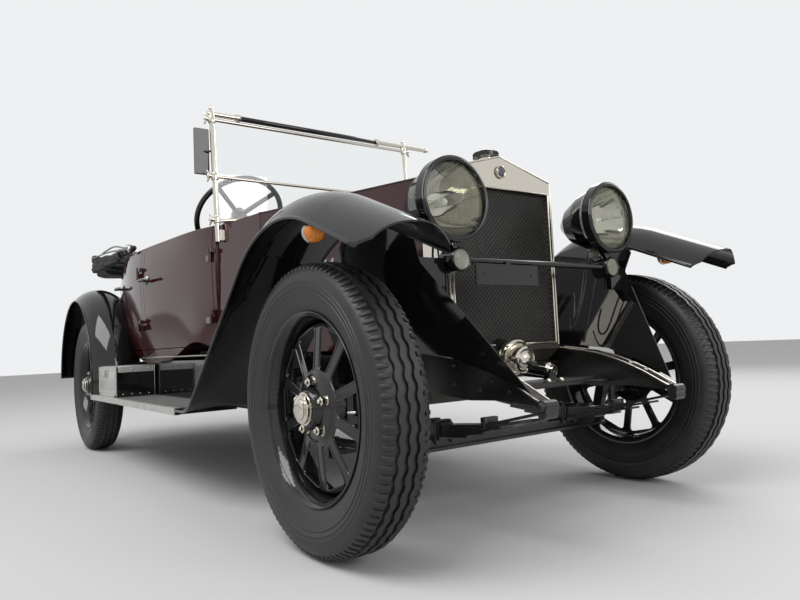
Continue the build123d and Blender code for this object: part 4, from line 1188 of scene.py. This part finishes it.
def makeTopRolls(b, side, name):
    for label, node, x0, x1, rides in b["stretches"]:
        n = node + name if node.endswith("_") else node
        rider = rides + name if rides.endswith("_") else rides
        points = lineAlong(n, side, x0, x1, 10 if abs(x1 - x0) > 0.3 else 3, b["top"], b["rollSkin"])
        if len(points) > 2:
            roll = bentRod([(x, y, z + 0.0005) for x, y, z in points], b["rollRadius"])
            dress(roll, "topRoll_" + label + "_" + name, "seatLeather", 60, rider)
    x0, x1, z = b["sill"]
    strip = bentRod(lineAlong("body_shell", side, x0, x1, 12, z, 0.001), b["sillRadius"])
    dress(strip, "sillStrip_" + name, "dullNickel", 60)


def makeHandles(b, side, name):
    z = b["handleZ"]
    for node, x, y in b["handles"]:
        door = node + name
        start = Vector((x - 0.006, side * (y + 0.048), z))
        end = Vector((x + 0.125, side * (y + 0.042), z))
        along = (end - start).normalized()
        dress(turnedPiece(b["tip"], end, along, steps=24), "handleTip_" + door, "brightNickel", 50, door)
        skin = surfaceY(door, x, z + 0.020, side) or side * y
        rose = turnedPiece(b["rose"], (x, skin - side * 0.001, z), (0, side, 0), steps=32)
        dress([rose, turnedPiece(b["lever"], start, along, steps=20)], "handleGrip_" + door, "lampBlack", 50, door)


for side, name in ((1, "left"), (-1, "right")):
    makeTopRolls(body, side, name)
    makeHandles(body, side, name)
print("body trimmed")

# windscreen: clamps with wing nuts, black sleeve on the top rail, mirror glass
screen = {
    "post": 0.541,
    "rake": 45 / 595,
    "top": 1.655,
    "x": 0.3185,
    "sleeveRadius": 0.0122,
    "sleeve": (-0.415, 0.365),
    "collar": [(0.0125, -0.011), (0.0168, -0.010), (0.0176, -0.006), (0.0176, 0.006), (0.0168, 0.010),
               (0.0125, 0.011)],
    "clamps": (1.360, 1.628, 1.160),
    "clamp": [(0.0126, -0.017), (0.0162, -0.015), (0.0170, -0.010), (0.0170, 0.010), (0.0162, 0.015),
              (0.0126, 0.017)],
    "nut": [(0.0085, 0), (0.0085, 0.008), (0.0110, 0.010), (0.0110, 0.020), (0.0070, 0.024), (pole, 0.0245)],
    "postCap": [(0.0073, -0.004), (0.0105, -0.002), (0.0115, 0.003), (0.0090, 0.0085), (0.0045, 0.0115),
                (pole, 0.0122)],
    "railCap": [(0.0112, -0.014), (0.0128, -0.012), (0.0132, -0.004), (0.0128, 0.004), (0.0112, 0.0090),
                (0.006, 0.0098), (pole, 0.0099)],
    "railEnd": 0.700,
    "mirror": ((0.2963, -0.6145, 1.380), (0.2979, -0.5595, 1.576)),
}


def onScreen(s, z):
    return s["x"] + (s["top"] - z) * s["rake"]


def makeClamp(s, side, z):
    c = Vector((onScreen(s, z), side * s["post"], z))
    out = c + Vector((0, side * 0.012, 0))
    bits = [turnedPiece(s["clamp"], c, (-s["rake"], 0, 1), steps=28),
            turnedPiece(s["nut"], out, (0, side, 0), steps=20)]
    for lift in (1, -1):
        root, tip = Vector((0, side * 0.015, lift * 0.008)), Vector((0, side * 0.023, lift * 0.026))
        wing = rodPiece(out + root, out + tip, 0.0055, 12, 0.0035)
        bits.append(softEdges(wing, 0.001, 1))
    return bits


def makeScreenFittings(s):
    x, top = onScreen(s, s["top"]), s["top"]
    sleeve = rodPiece((x, s["sleeve"][0], top), (x, s["sleeve"][1], top), s["sleeveRadius"], 24)
    dress(softEdges(sleeve, 0.0012, 1), "railSleeve", "lampBlack", 50)
    bits = [turnedPiece(s["collar"], (x, y, top), (0, 1, 0), steps=28) for y in s["sleeve"]]
    for side in (1, -1):
        for z in s["clamps"]:
            bits += makeClamp(s, side, z)
        bits.append(turnedPiece(s["postCap"], (onScreen(s, 1.688), side * s["post"], 1.6795), (0, 0, 1), steps=20))
    bits.append(turnedPiece(s["railCap"], (x, s["railEnd"], top), (0, 1, 0), steps=28))
    dress(bits, "screenFittings", "brightNickel", 45)
    dress(softEdges(boxPiece(*s["mirror"]), 0.0006, 1), "mirrorGlass", "mirrorFace")


makeScreenFittings(screen)
print("windscreen fitted")

# running boards: worn metal edge and lengthwise ribs
board = {
    "front": 0.5805,
    "rear": -0.9735,
    "outer": 0.815,
    "inner": 0.600,
    "top": 0.362,
    "edge": 0.0265,
    "lip": 0.020,
    "dent": 0.0022,
    "ribs": 9,
    "ribHalf": 0.0035,
    "ribHigh": 0.0016,
}
# toolbox: corner angles, lid, rivets, door panel, hasp
box = {
    "x": (-0.8515, -0.4565),
    "y": (-0.790, -0.600),
    "low": 0.362,
    "high": 0.520,
    "door": -0.795,
    "skin": 0.0009,
    "rim": 0.0016,
    "hasp": (-0.664, -0.644),
}


def makeBoardEdge(b, side, name):
    outer, top = b["outer"], b["top"]
    edge = boxPiece((b["rear"], side * (outer - b["lip"]), top - b["edge"]),
                    (b["front"] - 0.002, side * (outer + 0.0028), top + 0.0018))
    for v in subdivided(edge, 24).data.vertices:
        # small dents along the outer edge
        wave = math.sin(v.co.x * 37 + side) * math.sin(v.co.x * 11.3) * math.sin(v.co.x * 71 + 2 * side)
        if side * v.co.y > outer:
            v.co.y -= side * b["dent"] * max(0.0, wave)
            v.co.z += 0.0010 * wave
    dress(softEdges(edge, 0.0022, 2, 40), "boardEdge" + name, "boxAluminium", 50)


def makeBoardRibs(b, t, side, name):
    # the right board's ribs stop at the toolbox
    x0, x1 = b["rear"] + 0.02, b["front"] - 0.03
    runs = [(x0, x1)] if side > 0 else [(x0, t["x"][0] - 0.006), (t["x"][1] + 0.006, x1)]
    pitch = (b["outer"] - b["inner"] - 0.052) / (b["ribs"] - 1)
    ribs = []
    for x0, x1 in runs:
        for i in range(b["ribs"]):
            y = side * (b["inner"] + 0.012 + i * pitch)
            rib = boxPiece((x0, y - b["ribHalf"], b["top"] - 0.001), (x1, y + b["ribHalf"], b["top"] + b["ribHigh"]))
            ribs.append(softEdges(rib, 0.0009, 1))
    dress(ribs, "boardRibs" + name, "boardRubber", 50)


def makeBoxTrim(t):
    bits, bolts = [], []
    x0, x1 = t["x"]
    y0, y1 = t["y"]
    g, low, high = t["skin"], t["low"], t["high"]
    for x, d in ((x0, 1), (x1, -1)):
        angle = boxPiece((x - d * g, y1 + g, low + 0.001), (x + d * 0.016, y1 - 0.002, high + g))
        strip = boxPiece((x - d * 0.0016, y0 + 0.006, high - 0.030), (x + d * 0.001, y1 - 0.004, high + g))
        bits += [softEdges(angle, 0.0007, 1), softEdges(strip, 0.0007, 1)]
        for i in range(4):
            y = y0 + 0.030 + i * 0.043
            places = ((x - d * 0.0014, y, high - 0.015), (x, y, low + 0.014))
            bolts += [domeBolt(place, (-d, 0, 0), 0.0042) for place in places]
    lid = boxPiece((x0 + 0.003, y0 + 0.003, high - 0.001), (x1 - 0.003, y1 - 0.003, high + 0.0022))
    selectFaces(lid, lambda c, n: n.z > 0.9)
    bpy.ops.mesh.inset(thickness=0.018, depth=0.0016)
    bpy.ops.object.mode_set(mode="OBJECT")
    bits.append(softEdges(lid, 0.0012, 2, 25))
    dress(bits, "toolboxAngles", "boxAluminium", 40)
    dress(bolts, "toolboxRivets", "dullNickel", 50)


def makeBoxDoor(t):
    x0, x1 = t["x"]
    y, low, high = t["door"], t["low"] + 0.022, t["high"] - 0.004
    yr = y - 0.0004
    xa, xb = x0 + 0.005, x1 - 0.005
    rim = rodLoop([(xa, yr, low), (xb, yr, low), (xb, yr, high), (xa, yr, high)], t["rim"], 8)
    panel = boxPiece((x0 + 0.040, y - 0.0022, low + 0.020), (x1 - 0.040, y + 0.001, high - 0.022))
    dress(rim + [softEdges(panel, 0.0018, 2)], "toolboxDoorPanel", "boxAluminium", 50, "toolbox_door")
    xa, xb = t["hasp"]
    z = t["high"] - 0.040
    tongue = boxPiece((xa - 0.004, y - 0.0155, z - 0.015), (xb + 0.004, y - 0.0125, z + 0.024))
    staple = bentRod([(xa, y - 0.012, z), (xa, y - 0.0218, z), (xb, y - 0.0218, z), (xb, y - 0.012, z)], 0.0026)
    rivets = [domeBolt(((xa + xb) / 2 + dx, y - 0.0155, z + 0.018), (0, -1, 0), 0.0030) for dx in (-0.010, 0.010)]
    dress([softEdges(tongue, 0.0012, 2), staple] + rivets, "toolboxHasp", "dullNickel", 50, "toolbox_door")


for side, name in ((1, "Left"), (-1, "Right")):
    makeBoardEdge(board, side, name)
    makeBoardRibs(board, box, side, name)
makeBoxTrim(box)
makeBoxDoor(box)
print("boards and toolbox trimmed")

# seats: leather benches swelled by cloth simulation, then sewn channels and piping
seat = {
    "voxel": 0.0125,
    "pressure": 3.0,
    "frames": 18,
    "cap": 0.018,
    "channelPitch": 0.098,
    "channelDepth": 0.013,
    "channelWidth": 0.011,
    # name, then x of the cushion's front, its rear and the back's rear
    "benches": [("front", -0.2465, -0.7165, -0.8065), ("rear", -1.0965, -1.5665, -1.6565)],
    "cushionLow": 0.690,
    "cushionHigh": 0.858,
    "backHigh": 1.122,
    "piping": 0.0048,
    "plinthHalf": 0.470,
}


def swell(obj, s):
    # remeshed, blown up by the cloth solver with its travel capped, then smoothed
    modified(obj, "REMESH", mode="VOXEL", voxel_size=s["voxel"])
    before = [v.co.copy() for v in obj.data.vertices]
    m = obj.modifiers.new("cloth", "CLOTH")
    m.settings.use_pressure = True
    m.settings.uniform_pressure_force = s["pressure"]
    m.settings.effector_weights.gravity = 0
    m.settings.tension_stiffness = 25
    m.settings.bending_stiffness = 2
    m.point_cache.frame_start = 1
    m.point_cache.frame_end = s["frames"]
    for f in range(1, s["frames"] + 1):
        bpy.context.scene.frame_set(f)
    pick(obj)
    bpy.ops.object.modifier_apply(modifier=m.name)
    bpy.context.scene.frame_set(1)
    for v, old in zip(obj.data.vertices, before):
        d = v.co - old
        if d.length > s["cap"]:
            v.co = old + d.normalized() * s["cap"]
    return modified(obj, "SUBSURF", levels=1, render_levels=1)


def seatHalf(x, z):
    y = surfaceY("seats", x, z, 1)
    return (y if y is not None else 0.56) - 0.012


def channel(s, y):
    # how deep the sewn channels are at a place across the car
    gap = abs((y / s["channelPitch"]) - round(y / s["channelPitch"])) * s["channelPitch"]
    return s["channelDepth"] * math.exp(-(gap / s["channelWidth"]) ** 2)


def makePiping(s, x, z, half, back):
    # a sewn roll across the car, set back and lower at its ends
    bows = [(-1, back, 0.002), (-0.6, 0.001, 0), (0, 0, 0), (0.6, 0.001, 0), (1, back, 0.002)]
    return bentRod([(x - dx, half * across, z - dz) for across, dx, dz in bows], s["piping"])


def makeBench(s, name, front, rear, back):
    # two boxes drawn in at the sides to the cabin's width, then swelled
    cushion = boxPiece((rear + 0.012, -1, s["cushionLow"]), (front - 0.012, 1, s["cushionHigh"] - 0.016))
    rest = boxPiece((back + 0.014, -1, s["cushionLow"] + 0.05), (rear + 0.024, 1, s["backHigh"] - 0.014))
    for obj in (cushion, rest):
        for v in subdivided(obj, 6).data.vertices:
            v.co.y *= seatHalf(v.co.x, min(max(v.co.z, 0.715), 1.10)) - 0.014
        swell(softEdges(obj, 0.024, 4, 50), s)
    low, high = rear + 0.03, front - 0.045
    for v, n in vertsAndNormals(cushion):
        if n.z > 0.2 and low < v.co.x < high:
            v.co.z -= channel(s, v.co.y) * n.z * max(0.0, min(1.0, (high - v.co.x) / 0.03, (v.co.x - low) / 0.03))
    top = s["backHigh"] - 0.055
    for v, n in vertsAndNormals(rest):
        if n.x > 0.2 and v.co.z < top:
            v.co.x -= channel(s, v.co.y) * n.x * min(1.0, (top - v.co.z) / 0.03)
    bench = dress([cushion, rest], "bench_" + name, "seatLeather", 70)
    piping = [makePiping(s, front - 0.005, 0.840, seatHalf(front - 0.02, 0.80) - 0.05, 0.008),
              makePiping(s, rear + 0.027, 1.100, seatHalf(back + 0.05, 1.08) - 0.05, 0.007)]
    dress(piping, "benchPiping_" + name, "seatLeather", 70)
    return bench


def makePlinth(s, front, rear):
    plinth = boxPiece((rear + 0.035, -s["plinthHalf"], 0.600), (front - 0.045, s["plinthHalf"], 0.705))
    selectFaces(plinth, lambda c, n: n.x > 0.9)
    bpy.ops.mesh.inset(thickness=0.018, depth=-0.006)
    bpy.ops.object.mode_set(mode="OBJECT")
    return softEdges(plinth, 0.004, 2, 30)


benches = [makeBench(seat, *row) for row in seat["benches"]]
dress([makePlinth(seat, front, rear) for name, front, rear, back in seat["benches"]], "seatPlinths", "floorCarpet", 40)
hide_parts("seats")
print("seats made")

# folded hood: layered cloth bundle behind the rear seat, strapped, with irons to the side pivots
hood = {
    "x": (-1.900, -1.582),
    "half": 0.598,
    "z": (1.146, 1.314),
    "layers": 0.040,
    "layerDepth": 0.011,
    "straps": (-0.36, 0.0, 0.36),
    "strapHalf": 0.0125,
    "voxel": 0.0115,
    "pressure": 1.6,
    "frames": 14,
    "cap": 0.010,
    "rollEnds": (-1.640, -0.980),
    "rollY": (0.616, 0.674),
    "rollZ": (1.1435, 1.236),
    "pivot": (-0.640, 0.6765, 1.1655),
    # each iron's lift, rear end and lean outwards
    "irons": [(0.004, -1.60, 0.0), (0.022, -1.30, -0.004), (-0.004, -1.05, -0.008)],
    "pin": [(0.014, -0.004), (0.016, -0.001), (0.014, 0.0032), (0.007, 0.0048), (pole, 0.0052)],
}


def layered(z, pitch):
    # 0 between two folds, 1 in the groove
    return (0.5 - 0.5 * math.cos(math.tau * z / pitch)) ** 3


def makeHood(h):
    x0, x1 = h["x"]
    z0, z1 = h["z"]
    bundle = subdivided(boxPiece((x0, -h["half"], z0), (x1, h["half"], z1)), 9)
    mid = (x0 + x1) / 2
    for v in bundle.data.vertices:
        # rounded bundle, lower at its front edge and at its two ends
        up = (v.co.z - z0) / (z1 - z0)
        back = (v.co.x - x0) / (x1 - x0)
        v.co.x = mid + (v.co.x - mid) * (0.90 + 0.10 * math.sin(up * math.pi))
        v.co.z -= up * (0.062 * max(0.0, back - 0.35) ** 1.3 + 0.030 * (abs(v.co.y) / h["half"]) ** 3)
        v.co.z += up * 0.010 * math.sin(v.co.y * 17 + 1.3)
    swell(softEdges(bundle, 0.030, 4, 50), h)
    for v, n in vertsAndNormals(bundle):
        up = (v.co.z - z0) / (z1 - z0)
        groove = layered(v.co.z + 0.006 * math.sin(v.co.y * 9) + 0.004 * math.sin(v.co.y * 23), h["layers"])
        v.co -= n * (h["layerDepth"] * groove * math.hypot(n.x, n.y) * min(1.0, up * 6))
        ripple = math.sin(v.co.y * 31 + v.co.x * 14) * math.sin(v.co.y * 13 - v.co.x * 37 + 2)
        v.co += n * 0.0035 * ripple * (0.3 + 0.7 * up)
        for y in h["straps"]:
            if up > 0.05:
                v.co -= n * 0.010 * math.exp(-((v.co.y - y) / 0.035) ** 2)
    dress(bundle, "hoodBundle", "hoodCloth", 75)
    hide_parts("folded_hood")


def makeSideRoll(h, side):
    # cloth that runs forward along the body's edge, thinner towards its front end
    (x0, x1), (y0, y1), (z0, z1) = h["rollEnds"], h["rollY"], h["rollZ"]
    roll = subdivided(boxPiece((x0, side * y0, z0), (x1, side * y1, z1)), 8)
    mid = side * (y0 + y1) / 2
    for v in roll.data.vertices:
        t = (v.co.x - x0) / (x1 - x0)
        v.co.z = z0 + (v.co.z - z0) * (1.0 - 0.62 * t)
        v.co.y = mid + (v.co.y - mid) * (1.0 - 0.35 * t)
    softEdges(roll, 0.014, 3, 50)
    modified(roll, "REMESH", mode="VOXEL", voxel_size=0.008)
    modified(roll, "SUBSURF", levels=1, render_levels=1)
    for v, n in vertsAndNormals(roll):
        v.co += n * 0.0014 * (math.sin(v.co.x * 46 + v.co.z * 60) + math.sin(v.co.x * 23 - v.co.z * 90))
        v.co -= n * 0.005 * layered(v.co.z + 0.10 * (v.co.x - x0), 0.030)
    return roll


def makeHoodIrons(h):
    irons, bright = [], []
    px, py, pz = h["pivot"]
    for side in (1, -1):
        pivot = Vector((px, side * py, pz))
        for lift, rear, out in h["irons"]:
            end = Vector((rear, side * (py + out), pz + 0.070 * (px - rear) / 0.96 + lift))
            mid = (pivot + end) / 2 + Vector((0, 0, 0.012 + lift))
            irons.append(bentRod([pivot, pivot * 0.7 + mid * 0.3, mid, end * 0.7 + mid * 0.3, end], 0.0050, 10))
        irons.append(softEdges(boxPiece((-0.668, side * 0.668, 1.1475), (-0.612, side * 0.674, 1.1715)), 0.002, 2))
        bright.append(turnedPiece(h["pin"], pivot, (0, side, 0), steps=24))
        for x in (-0.86, -1.12):
            z = pz + 0.070 * (px - x) / 0.96 + 0.012
            bright.append(domeBolt((x, side * 0.6785, z), (0, side, 0), 0.0065))
    dress(irons, "hoodIrons", "chassisBlack", 50)
    dress(bright, "hoodPivots", "dullNickel", 50)


def makeHoodStraps(h):
    x0, x1 = h["x"]
    loop = [(x1 - 0.004, 1.150), (x1 + 0.002, 1.205), (x1 - 0.035, 1.262), (x1 - 0.11, 1.302), (x0 + 0.13, 1.312),
            (x0 + 0.035, 1.300), (x0, 1.235), (x0 + 0.006, 1.152)]
    straps = []
    for y in h["straps"]:
        strap = curvePiece("NURBS", [(x, y, z) for x, z in loop], extrude=h["strapHalf"])
        straps.append(modified(strap, "SOLIDIFY", thickness=0.0028, offset=0))
    dress(straps, "hoodStraps", "controlBlack", 60)


makeHood(hood)
sideRolls = dress([makeSideRoll(hood, side) for side in (1, -1)], "hoodSideRolls", "hoodCloth", 75)
makeHoodIrons(hood)
makeHoodStraps(hood)
print("hood made")

# inside: instrument dials, steering boss, door cards, carpets
inside = {
    "dashX": 0.3485,
    "dials": [(-0.115, 1.035, 0.042), (0.010, 1.035, 0.042), (0.125, 1.030, 0.030)],
    "bezel": [(0, 0.000), (0.004, 0.003), (0.004, 0.009), (0, 0.012), (-0.003, 0.010), (-0.004, 0.004)],
    "knobs": (-0.190, 0.195, 0.235),
    "knob": [(0.010, 0.000), (0.011, 0.003), (0.006, 0.006), (0.006, 0.014), (0.0105, 0.018), (0.0095, 0.026),
             (pole, 0.027)],
    "wheel": (0.1035, -0.330, 1.240),
    "lean": math.radians(42),
    "boss": [(0.0345, 0.0215), (0.0360, 0.0235), (0.0350, 0.0270), (0.028, 0.0300), (0.026, 0.0320),
             (0.018, 0.0345), (0.012, 0.0400), (pole, 0.0410)],
    "leverKnob": [(0.0035, -0.006), (0.0068, -0.002), (0.0068, 0.004), (0.004, 0.008), (pole, 0.009)],
    "cards": [("door_front_", -0.415, 0.262), ("door_rear_", -0.905, -0.520)],
    "cardZ": 0.885,
    "cardHigh": 0.455,
    # ends, half width and height of each carpet
    "carpets": [(-0.240, 0.262, 0.475, 0.5745), (-1.085, -0.812, 0.485, 0.6150)],
}


def makeMark(centre, low, high, depth, half, deg):
    # a thin bar on a dial's face, turned about the dial's middle
    x, y, z = centre
    bar = boxPiece((x - depth[0], y - half, z + low), (x - depth[1], y + half, z + high))
    turned = copyPiece(bar, turn=math.radians(deg), axis="X", pivot=centre)
    bpy.data.objects.remove(bar)
    return turned


def makeDials(d):
    bezels, faces, marks = [], [], []
    x = d["dashX"]
    for y, z, r in d["dials"]:
        c = (x + 0.002, y, z)
        bezels.append(turnedPiece([(r + wider, along) for wider, along in d["bezel"]], c, (-1, 0, 0), steps=40))
        faces.append(turnedPiece([(r - 0.001, 0.0052), (r * 0.5, 0.0053), (pole, 0.0053)], c, (-1, 0, 0), steps=40))
        marks += [makeMark((x, y, z), r * 0.66, r * 0.84, (0.0045, 0.0034), 0.0006, i * 26 - 130) for i in range(11)]
        marks.append(makeMark((x, y, z), -r * 0.15, r * 0.68, (0.0060, 0.0052), 0.0008, 115))
        marks.append(turnedPiece([(0.005, 0.005), (0.0042, 0.0085), (pole, 0.0095)], c, (-1, 0, 0), steps=16))
    bezels += [turnedPiece(d["knob"], (x + 0.002, y, 0.985), (-1, 0, 0), steps=24) for y in d["knobs"]]
    dress(bezels, "dialBezels", "brightNickel", 50)
    dress(faces, "dialFaces", "dialFace", 50)
    dress(marks, "dialMarks", "controlBlack", 50)


def makeWheelBoss(d):
    axis = Vector((-math.cos(d["lean"]), 0, math.sin(d["lean"])))
    side = axis.orthogonal().normalized()
    c = Vector(d["wheel"])
    boss = turnedPiece(d["boss"], c, axis, steps=40)
    lever = rodPiece(c + axis * 0.036, c + axis * 0.040 + side * 0.085, 0.0032, 12)
    knob = turnedPiece(d["leverKnob"], c + axis * 0.040 + side * 0.087, side, steps=16)
    dress([boss, lever, knob], "steeringBoss", "brightNickel", 50, "steering_wheel")


def makeDoorCard(d, node, side, x0, x1):
    # a grid laid on the door's inner face, cut where the door ends, and thickened
    startPiece()
    bpy.ops.mesh.primitive_grid_add(x_subdivisions=22, y_subdivisions=16, size=1)
    card = bpy.context.object
    missed = []
    for v in card.data.vertices:
        x = (x0 + x1) / 2 + v.co.x * abs(x1 - x0)
        z = d["cardZ"] + v.co.y * d["cardHigh"]
        hit, place, normal, index = nodes[node].ray_cast(Vector((x, 0, z)), Vector((0, side, 0)))
        v.co = (x, place.y - side * 0.0022 if hit else 0, z)
        if not hit:
            missed.append(v.index)
    bm = bmesh.new()
    bm.from_mesh(card.data)
    bm.verts.ensure_lookup_table()
    bmesh.ops.delete(bm, geom=[bm.verts[i] for i in missed], context="VERTS")
    bm.to_mesh(card.data)
    bm.free()
    outward(modified(card, "SOLIDIFY", thickness=0.0045, offset=0))
    dress(card, "doorCard_" + node, "seatLeather", 60, node)


makeDials(inside)
makeWheelBoss(inside)
for side, name in ((1, "left"), (-1, "right")):
    for door, x0, x1 in inside["cards"]:
        makeDoorCard(inside, door + name, side, x0, x1)
carpets = []
for x0, x1, half, z in inside["carpets"]:
    carpets.append(softEdges(boxPiece((x0, -half, z - 0.004), (x1, half, z + 0.005)), 0.003, 2))
dress(carpets, "floorCarpets", "floorCarpet", 50)
print("inside made")

# chassis fittings: spring clips and U-bolts, eye caps, frame rivets, dumb-iron bolts
chassis = {
    "springFront": (1.5435, 0.295),
    "springRear": (-1.4065, 0.430),
    "clips": (1.30, 1.78),
    "ironEye": (2.0015, 0.320, 0.392),
    "eyeCap": [(0.0145, 0.0), (0.0145, 0.004), (0.0105, 0.0075), (0.0085, 0.0110), (pole, 0.0120)],
    "rivetY": 0.298,
    "rivets": [(1.640, 0.500), (1.640, 0.440), (1.800, 0.455), (1.7535, 0.4265), (1.870, 0.428), (1.450, 0.505),
               (1.450, 0.450), (1.3535, 0.446)],
    "ironBolts": [(1.895, 0.453), (1.840, 0.475)],
}


def makeSpringClips(c, side):
    bits = []
    x, y = c["springFront"][0], side * c["springFront"][1]
    for dx in (-0.026, 0.026):
        ends = [(-0.031, 0.266), (-0.031, 0.322), (-0.0290, 0.3275), (0.0290, 0.3275), (0.031, 0.322), (0.031, 0.266)]
        bits.append(bentRod([(x + dx, y + dy, z) for dy, z in ends], 0.0048, 10))
        bits += [hexNut((x + dx, y + dy, 0.2705), (0, 0, -1), 0.017, 0.010) for dy in (-0.031, 0.031)]
    for xc in c["clips"]:
        clip = boxPiece((xc - 0.009, y - 0.0275, 0.318), (xc + 0.009, y + 0.0275, 0.352))
        bits.append(softEdges(clip, 0.0025, 2))
    x, y = c["springRear"][0], side * c["springRear"][1]
    for dx in (-0.030, 0.030):
        bits += [rodPiece((x + dx, y + dy, 0.370), (x + dx, y + dy, 0.500), 0.0052, 12) for dy in (-0.034, 0.034)]
        bits.append(rodPiece((x + dx, y - 0.034, 0.4985), (x + dx, y + 0.034, 0.4985), 0.0052, 12))
    x, y, z = c["ironEye"]
    bits.append(turnedPiece(c["eyeCap"], (x, side * y, z), (0, side, 0), steps=24))
    return bits


def makeChassisFittings(c):
    sides = (1, -1)
    dress([bit for side in sides for bit in makeSpringClips(c, side)], "springClips", "chassisBlack", 50)
    rivets = [domeBolt((x, side * c["rivetY"], z), (0, side, 0), 0.0075) for side in sides for x, z in c["rivets"]]
    dress(rivets, "frameRivets", "chassisBlack", 50)
    bolts = [domeBolt((x, side * 0.303, z), (0.35, 0, 0.93), 0.0078) for side in sides for x, z in c["ironBolts"]]
    dress(bolts, "ironBolts", "dullNickel", 50)


makeChassisFittings(chassis)
print("chassis fitted")

# front end: bright nickel rods along the frame irons' edges as painted highlights, lamp wiring and thin stays
frontEnd = {
    "irons": [(1.5535, 0.5335), (1.6995, 0.5195), (1.8035, 0.4905), (1.8935, 0.4555), (1.9635, 0.4185),
              (1.9935, 0.4045)],
    # where the painted highlight rods run across each frame iron
    "edges": (0.2735, 0.3165),
    "edgeHighlightRadius": 0.0028,
    # each wire's radius and its points: x, how far inwards from the lamp, z
    "lampY": 0.362,
    "wires": [
        (0.0034, [(1.655, 0, 0.880), (1.640, 0, 0.845), (1.632, 0.012, 0.770), (1.628, 0.035, 0.690),
                  (1.618, 0.050, 0.640), (1.600, 0.040, 0.630), (1.588, 0.018, 0.668), (1.582, 0.006, 0.730)]),
        (0.00272, [(1.668, 0, 0.880), (1.656, 0.010, 0.835), (1.650, 0.030, 0.740), (1.640, 0.058, 0.650),
                   (1.622, 0.074, 0.600), (1.596, 0.060, 0.592), (1.574, 0.030, 0.640)]),
    ],
    "stay": ((1.690, 0.352, 0.795), (1.640, 0.318, 0.548)),
}


def makeFrontEnd(f):
    edges, wires, stays = [], [], []
    for side in (1, -1):
        # bright nickel rods on both edges of each frame iron stand in for painted highlights
        edges += [bentRod([(x, side * y, z) for x, z in f["irons"]], f["edgeHighlightRadius"], 8) for y in f["edges"]]
        for radius, points in f["wires"]:
            wires.append(bentRod([(x, side * (f["lampY"] - inwards), z) for x, inwards, z in points], radius, 10))
        stays.append(rodPiece(*[(x, side * y, z) for x, y, z in f["stay"]], 0.0048, 12))
    dress(edges, "ironEdgeHighlights", "brightNickel", 50)
    dress(wires, "lampWires", "controlBlack", 60)
    dress(stays, "lampStays", "lampBlack", 60)


# hood ends: rolled cloth ends and the strapped bunch over the body's edge
hoodEnd = {
    "place": (-1.915, 0.560, 1.276),
    "radius": 0.030,
    # share of the radius, and along the roll
    "roll": [(0, -0.160), (0.9, -0.155), (1, -0.080), (0.86, -0.030), (0.62, -0.012), (0.70, 0.000),
             (1.08, 0.010), (1.16, 0.030), (0.98, 0.048), (0.5, 0.058), (0, 0.060)],
    # x, z, radius and half length of each bunch, and its shape as shares of these
    "bunches": [(-0.700, 1.172, 0.019, 0.060), (-0.780, 1.180, 0.024, 0.055), (-0.872, 1.182, 0.021, 0.070),
                (-0.960, 1.186, 0.026, 0.062)],
    "bunch": [(0, -1), (0.7, -0.92), (0.95, -0.5), (1, 0), (0.9, 0.55), (0.6, 0.94), (0, 1)],
    "straps": (-0.740, -0.915),
    "strap": [(0.0300, -0.009), (0.0312, -0.007), (0.0312, 0.007), (0.0300, 0.009)],
}


def makeHoodEnds(h):
    bits, straps = [], []
    x, y, z = h["place"]
    for side in (1, -1):
        roll = [(max(pole, h["radius"] * share), along) for share, along in h["roll"]]
        bits.append(turnedPiece(roll, (x, side * y, z), (0, side, 0), steps=32))
        for xb, zb, radius, half in h["bunches"]:
            shape = [(max(pole, radius * share), half * along) for share, along in h["bunch"]]
            bits.append(turnedPiece(shape, (xb, side * 0.646, zb), (0.97, 0, 0.12 - (xb * 7 % 1) * 0.3), steps=20))
        for xs in h["straps"]:
            straps.append(turnedPiece(h["strap"], (xs, side * 0.648, 1.176), (1, 0, 0.05), steps=28, closed=True))
    ends = joinPieces(bits)
    modified(ends, "REMESH", mode="VOXEL", voxel_size=0.006)
    modified(ends, "SMOOTH", iterations=3)
    for v, n in vertsAndNormals(ends):
        v.co += n * 0.0022 * (math.sin(v.co.x * 95 + v.co.z * 60) + math.sin(v.co.y * 70 - v.co.z * 110))
    dress(ends, "hoodEnds", "hoodCloth", 75)
    dress(straps, "hoodEndStraps", "controlBlack", 50)


makeFrontEnd(frontEnd)
makeHoodEnds(hoodEnd)
print("front end and hood ends made")
